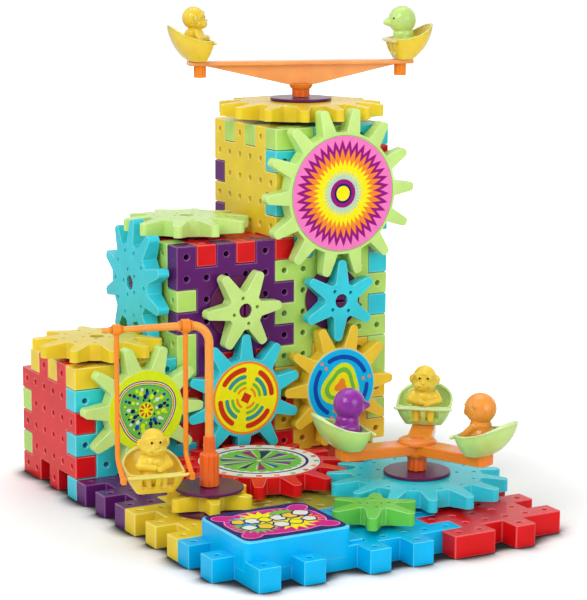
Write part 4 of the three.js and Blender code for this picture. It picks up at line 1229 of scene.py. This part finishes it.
def makeSwing():
    s, orange = swing, plastic["orange"]
    height, elbow, pole = s["height"], s["elbowRadius"], s["poleRadius"]
    matrix = rideMatrix("gear_yellow_swing", s["turn"])
    makeTopDisc("swing", matrix, "swing_gear")

    def armRadius(x):
        return pole + (s["tipRadius"] - pole) * max(0.0, (x - elbow) / (s["armReach"] - elbow))

    socketTop = rideFoot + s["socketHeight"]
    neckTop = socketTop + s["neckHeight"]
    neck = pole + s["neckWall"]
    profile = ((0, rideFoot), (s["socketRadius"], rideFoot), (s["socketRadius"], socketTop),
               (neck + s["neckFlare"][0], socketTop + s["neckFlare"][1]), (neck, neckTop), (0, neckTop))
    socket = turned(eased(profile, s["socketPaintedHighlight"]), s["sides"]["socket"], s["flutes"], socketTop, rideFoot)
    bends, steps = s["poleSteps"]
    line = [(0, rideFoot + s["poleFoot"]), (0, neckTop), (0, height - elbow)]
    line += arc(elbow, 180, 90, bends, elbow, height - elbow)[1:]
    line += [(elbow + (s["armReach"] - elbow) * step / steps, height) for step in range(1, steps + 1)]
    reach, share = s["tipCap"]
    radii = [armRadius(x) for x, _ in line] + [s["tipRadius"] * share]
    line.append((s["armReach"] + reach, height))
    poleMesh = tube([(x, 0, z) for x, z in line], radii, s["sides"]["pole"])
    parts = [
        meshObject("swingPost", socket, clear["deepOrange"]), meshObject("pole", poleMesh, clear["orange"]),
    ]
    for rod, place in s["rods"].items():
        for x in (place - s["collarSide"], place + s["collarSide"]):
            radius, half = armRadius(x) + s["collarProud"][rod], s["collarHalf"]
            collar = drum(radius, -half, half, s["collarPaintedHighlight"], s["sides"]["collar"])
            parts.append(meshObject("collar", acrossX(collar, x, 0, height), orange))
    settle(joined(parts), matrix, "swing_gear", "swing_post", s["poleAngle"])

    seat = seats["ride"]
    middle = sum(s["rods"].values()) / 2
    lip = s["seatLift"] + seat["lip"]
    footMiddle = (s["footReach"] - s["footHeight"] / 2, lip - s["footHeight"] / 2)
    for rod, place in s["rods"].items():
        away = math.copysign(1, place - middle)
        inner = armRadius(place) + s["ringPlay"]
        outer, half, soft = inner + s["ringWall"], s["ringWidth"] / 2, s["ringPaintedHighlight"]
        ring = turned(((inner, -half), (outer - soft, -half), (outer, soft - half), (outer, half - soft),
                       (outer - soft, half), (inner, half), (inner, -half)), s["sides"]["ring"])
        bmesh.ops.remove_doubles(ring, verts=ring.verts, dist=0.001)
        bend = height - s["rodDrop"]
        end, knee = Vector((place, *footMiddle)), Vector((place, 0, bend))
        above = knee + Vector((0, 0, s["kneeReach"]))
        below = knee + (end - knee).normalized() * s["kneeReach"]
        path = [(place, 0, height - inner - s["ringWall"] / 2), (place, 0, bend + s["kneeFoot"])]
        count = s["kneeSteps"]
        path += [curvePoint(above, knee, below, step / count) for step in range(count + 1)] + [end]
        beside = middle + away * (seat["width"] / 2 + seatLook["ear"] + gap)
        x0, x1 = sorted((beside, place + away * s["rodRadius"]))
        foot, low = s["footReach"], lip - s["footHeight"]
        clip = meshObject("clip", blockMesh(x0, x1, foot - s["footHeight"], foot, low, lip), orange)
        knob = turned(eased(s["knob"], s["knobPaintedHighlight"]), s["sides"]["knob"])
        piece = joined([
            meshObject("swingRod" + rod, acrossX(ring, place, 0, height), orange),
            meshObject("rod", tube(path, [s["rodRadius"]] * len(path), s["sides"]["rod"]), orange),
            roundEdges(clip, *s["clipPaintedHighlight"]),
            meshObject("knob", acrossX(knob, (x0 + x1) / 2, *footMiddle), orange),
        ])
        settle(piece, matrix, "swing_hanger", f"swing_rod_{rod.lower()}", s["rodAngle"])
    place = matrix @ moved(middle, s["footReach"], s["seatLift"]) @ rotated(-math.pi / 2)
    makeRide("swing", "", "monkey", "yellow", "yellow", place, "swing_hanger", "swing_seat")


makeSwing()
print("swing made")


# Carousel

carousel = {
    "turn": 52, "armLevel": 9.5, "armThickness": 5.9, "armWidth": 13.4, "armLength": 46.0, "armTaper": 2.4,
    "armShoulder": 0.94, "armTip": 0.6, "armPaintedHighlight": (0.7, 3, 40), "hubRadius": 5.2, "hubPaintedHighlight": 0.3,
    "hubSides": 128, "flutes": (8, 0.75), "seatReach": 31.5, "shadeAngle": 38,
    # radius and height above the arms of each point of the collar
    "collar": ((0, -1), (10.6, -1), (10.6, 0.6), (8.9, 2.0), (7.0, 1.7), (5.2, 2.1), (3.2, 2.1), (3.2, 0.8),
               (0, 0.8)),
    "collarPaintedHighlight": 0.8, "ringSides": 64, "ringRadius": 8.6, "ringFoot": 7.6, "ringDrop": 1.4,
    "ringLap": 0.4, "ringPaintedHighlight": 0.5,
    # place, shape and colour of each rider
    "riders": (("Rear", "monkey", "yellow"), ("Left", "chick", "purple"), ("Right", "cub", "orange")),
}


def makeCarousel():
    c, body = carousel, "carousel"
    matrix = rideMatrix("gear_teal_flat", c["turn"])
    makeTopDisc("carousel", matrix, body)
    level = rideFoot + c["armLevel"]
    top = level + c["armThickness"]
    half, end = c["armWidth"] / 2, c["armLength"]
    side = ((0, half), (end - c["armTaper"], half * c["armShoulder"]), (end, half * c["armTip"]))
    outline = [(x, -y) for x, y in side] + list(side[::-1])
    turns = circle(len(c["riders"]))
    parts = []
    for turn in turns:
        arm = prisms([outline], level, top)
        arm.transform(rotated(turn))
        parts.append(roundEdges(meshObject("carouselArms", arm, clear["midOrange"]), *c["armPaintedHighlight"]))
    hub = drum(c["hubRadius"], rideFoot, level + gap, c["hubPaintedHighlight"], c["hubSides"],
               flutes=c["flutes"], fluteTop=level)
    profile = [(radius, top + lift) for radius, lift in c["collar"]]
    collar = turned(eased(profile, c["collarPaintedHighlight"]), c["ringSides"])
    ring = drum(c["ringRadius"], level - c["ringDrop"], level + c["ringLap"], c["ringPaintedHighlight"],
                c["ringSides"], c["ringFoot"])
    parts += [
        meshObject("hub", hub, clear["deepOrange"]), meshObject("collar", collar, clear["midOrange"]),
        meshObject("underRing", ring, plastic["orange"]),
    ]
    settle(joined(parts), matrix, body, "carousel_arms", c["shadeAngle"])
    for turn, (title, shape, colour) in zip(turns, c["riders"]):
        spot = matrix @ rotated(turn) @ moved(c["seatReach"], 0, top + gap)
        seatNode, riderNode = f"carousel_seat_{title.lower()}", f"carousel_rider_{shape}"
        makeRide("carousel", title, shape, colour, "lime", spot, body, seatNode, riderNode)


makeCarousel()
print("carousel made")


# Seesaw

seesaw = {
    "turn": -17, "beamLength": 134.0, "beamWidth": 11.5, "beamRadius": 1.6, "seatReach": 53.0,
    "flange": 2.4, "flangePaintedHighlight": (0.55, 3, 50), "shadeAngle": 38,
    "web": 4.4, "webDepth": 11.4, "webFoot": 17.0, "webPaintedHighlight": (0.5, 2, 35),
    "postHeight": 7.4, "postRadius": 5.2, "postSides": 128, "postFlutes": (8, 0.75), "postPaintedHighlight": 0.4,
    "postLap": 0.6, "capFoot": 6.0, "capRadius": 7.2, "capDrop": 2.6, "capPaintedHighlight": 0.6, "capLap": 0.4,
    "tubeRadius": 3.6, "tubeLength": 7.0, "tubeInset": 7.2, "tubeSides": 96, "tubeFlutes": (8, 0.7),
    "tubePaintedHighlight": 0.3,
}


def makeSeesaw():
    s, body, pale = seesaw, "seesaw", clear["paleOrange"]
    matrix = rideMatrix("gear_yellow_top", s["turn"])
    makeTopDisc("seesaw", matrix, body)
    low = rideFoot + s["postHeight"]
    flangeLow = low + s["webDepth"]
    top = flangeLow + s["flange"]
    end, wide, inset = s["beamLength"] / 2, s["beamWidth"] / 2, s["tubeInset"]
    sideView = ((-s["webFoot"] / 2, low), (s["webFoot"] / 2, low), (end - inset, flangeLow + gap),
                (inset - end, flangeLow + gap))
    web = prisms([sideView], -s["web"] / 2, s["web"] / 2)
    web.transform(rotated(math.pi / 2, "X"))
    flange = prisms([roundedOutline(-end, end, -wide, wide, s["beamRadius"])], flangeLow, top)
    post = drum(s["postRadius"], rideFoot, low + s["postLap"], s["postPaintedHighlight"], s["postSides"],
                flutes=s["postFlutes"], fluteTop=low)
    cap = drum(s["capRadius"], low - s["capDrop"], low + s["capLap"], s["capPaintedHighlight"], foot=s["capFoot"])
    parts = [
        roundEdges(meshObject("seesawBeam", web, pale), *s["webPaintedHighlight"]),
        roundEdges(meshObject("flange", flange, pale), *s["flangePaintedHighlight"]),
        meshObject("post", post, clear["deepOrange"]), meshObject("cap", cap, plastic["orange"]),
    ]
    for side in (-1, 1):
        endTube = drum(s["tubeRadius"], flangeLow - s["tubeLength"], flangeLow + gap, s["tubePaintedHighlight"],
                       s["tubeSides"], flutes=s["tubeFlutes"], fluteTop=flangeLow)
        endTube.transform(Matrix.Translation((side * (end - inset), 0, 0)))
        parts.append(meshObject("endTube", endTube, plastic["orange"]))
    settle(joined(parts), matrix, body, "seesaw_beam", s["shadeAngle"])
    for title, turn, shape, colour, riderNode in (
        ("Right", 0.0, "chick", "lime", "seesaw_rider_chick"), ("Left", math.pi, "monkey", "yellow", None),
    ):
        spot = matrix @ rotated(turn) @ moved(s["seatReach"], 0, top + gap)
        seatNode = f"seesaw_seat_{title.lower()}"
        makeRide("seesaw", title, shape, colour, "yellow", spot, body, seatNode, riderNode)


makeSeesaw()
print("seesaw made")


# CAD nodes that stay: the works inside the motor box

for node, material in (
    ("motor_floor", plastic["blue"]), ("battery_door", plastic["blue"]), ("battery_front", batteryJacket),
    ("battery_back", batteryJacket), ("gearmotor", steel), ("drive_shaft", plastic["green"]),
    ("power_switch", plastic["black"]),
):
    nodes[node].data.materials.clear()
    nodes[node].data.materials.append(material)
print("inner works dressed")


# Studio, in metres but for the floor's size and depth

studio = {
    "floorSize": 6000, "floorDepth": -10, "floorTone": 0.93, "floorRoughness": 0.9, "floorSpecular": 0.1,
    "worldTone": 0.50, "middle": (0.01, 0.035, 0.0), "near": 0.13, "far": 0.30,
    "nearGlow": 0.10, "farGlow": 1.0, "mirrorFront": 0.22, "mirrorBack": 0.95,
    "frontLine": -0.30, "backLine": 0.10, "skyFront": -0.3, "skyBack": 0.4,
    # reach, depth and range of the painted contact shadow on the floor
    "contact": 0.015, "paintedShadowDepth": 0.97, "paintedShadowFrom": 0.50, "paintedShadowTo": 0.98,
    # place, target, size and power of each light
    "lights": {
        "keyLight": ((-1.3, -0.75, 1.2), (0, 0.03, 0.1), (1.0, 1.0), 14.0),
        "fillLight": ((0.5, -1.7, 0.55), (0, 0.03, 0.1), (1.4, 0.9), 9.0),
        "topLight": ((0.1, 0.3, 1.6), (0, 0.05, 0.1), (1.1, 1.1), 5.0),
    },
}


def mathNode(tree, operation, first, second):
    return addNode(tree, "Math", {0: first, 1: second}, operation=operation).outputs["Value"]


def rangeNode(tree, value, fromLow, fromHigh, toLow, toHigh):
    return addNode(tree, "MapRange", {
        "Value": value, "From Min": fromLow, "From Max": fromHigh, "To Min": toLow, "To Max": toHigh,
    }, interpolation_type="SMOOTHSTEP").outputs["Result"]


# Nodes that both the floor and the world need: the kind of ray, and the mirrored tone from front to back
def rayAndMirror(tree, space, front, back):
    path = addNode(tree, "LightPath", {}).outputs
    place = addNode(tree, "TexCoord", {}).outputs[space]
    depth = addNode(tree, "SeparateXYZ", {"Vector": place}).outputs["Y"]
    return path, place, rangeNode(tree, depth, front, back, studio["mirrorFront"], studio["mirrorBack"])


# Pale floor that fades to white away from the toy, and mirrors darker in front of it; next to the toy a
# painted contact shadow darkens its colour and glow
def floorMaterial():
    look = studio
    material = bpy.data.materials.new("paleFloor")
    material.use_nodes = True
    tree = material.node_tree
    path, place, mirror = rayAndMirror(tree, "Object", look["frontLine"], look["backLine"])
    tone = rangeNode(tree, path["Is Glossy Ray"], 0.0, 1.0, look["floorTone"], mirror)
    # painted shadow: the floor darkens where ambient occlusion finds the toy close by
    contact = addNode(tree, "AmbientOcclusion", {"Distance": look["contact"]}).outputs["AO"]
    paintedContactShadow = rangeNode(tree, contact, look["paintedShadowFrom"], look["paintedShadowTo"], 1 - look["paintedShadowDepth"], 1.0)
    shaded = mathNode(tree, "MULTIPLY", tone, paintedContactShadow)
    grey = addNode(tree, "CombineColor", {"Red": shaded, "Green": shaded, "Blue": shaded})
    shader = tree.nodes["Principled BSDF"]
    setSockets(tree, shader, {
        "Base Color": grey.outputs["Color"], "Roughness": look["floorRoughness"],
        "Specular IOR Level": look["floorSpecular"],
    })
    away = addNode(tree, "VectorMath", {0: place, 1: look["middle"]}, operation="DISTANCE").outputs["Value"]
    glow = rangeNode(tree, away, look["near"], look["far"], look["nearGlow"], look["farGlow"])
    shown = mathNode(tree, "MULTIPLY", glow, path["Is Camera Ray"])
    light = addNode(tree, "Emission", {"Strength": mathNode(tree, "MULTIPLY", shown, paintedContactShadow)})
    both = addNode(tree, "AddShader", {0: shader.outputs["BSDF"], 1: light.outputs["Emission"]})
    setSockets(tree, tree.nodes["Material Output"], {"Surface": both.outputs["Shader"]})
    return material


# White to the eye; softer as a light, and brighter behind the toy than before it in mirrors
def makeWorld():
    world = bpy.data.worlds.new("studioWorld")
    bpy.context.scene.world = world
    world.use_nodes = True
    tree = world.node_tree
    path, _, mirror = rayAndMirror(tree, "Generated", studio["skyFront"], studio["skyBack"])
    lit = rangeNode(tree, path["Is Glossy Ray"], 0.0, 1.0, studio["worldTone"], mirror)
    seen = mathNode(tree, "MAXIMUM", path["Is Camera Ray"], path["Is Transmission Ray"])
    setSockets(tree, tree.nodes["Background"], {
        "Color": (1, 1, 1, 1), "Strength": rangeNode(tree, seen, 0.0, 1.0, lit, 1.0),
    })


def makeLights():
    for name, (place, target, size, power) in studio["lights"].items():
        data = bpy.data.lights.new(name, "AREA")
        data.shape = "RECTANGLE"
        data.size, data.size_y = size
        data.energy = power
        lamp = bpy.data.objects.new(name, data)
        bpy.context.scene.collection.objects.link(lamp)
        lamp.location = place
        lamp.rotation_euler = (Vector(target) - Vector(place)).to_track_quat("-Z", "Y").to_euler()


# The photograph's camera, about a target in the frame
camera = {
    "target": (-0.01262, 0.0, 0.11997), "azimuth": -29.57, "elevation": 10.72, "roll": 0.30,
    "distance": 1.1133, "focal": 2119.5, "imageLong": 600, "sensor": 36,
}


def makeCamera():
    data = bpy.data.cameras.new("photoCamera")
    data.sensor_width = camera["sensor"]
    data.lens = camera["focal"] / camera["imageLong"] * camera["sensor"]
    data.clip_start, data.clip_end = 0.05, 20
    piece = bpy.data.objects.new("photoCamera", data)
    bpy.context.scene.collection.objects.link(piece)
    bpy.context.scene.camera = piece
    a, e, r = (math.radians(camera[name]) for name in ("azimuth", "elevation", "roll"))
    back = Vector((math.sin(a) * math.cos(e), -math.cos(a) * math.cos(e), math.sin(e)))
    level = Vector((0, 0, 1)).cross(back).normalized()
    upright = back.cross(level)
    right = level * math.cos(r) + upright * math.sin(r)
    up = upright * math.cos(r) - level * math.sin(r)
    turn = Matrix((right, up, back)).transposed().to_4x4()
    piece.matrix_world = Matrix.Translation(Vector(camera["target"]) + back * camera["distance"]) @ turn


half = studio["floorSize"] / 2
meshObject("floor", blockMesh(-half, half, -half, half, studio["floorDepth"], 0), floorMaterial())
makeWorld()
makeLights()
makeCamera()
bpy.context.scene.view_settings.view_transform = "Standard"
print("studio made")
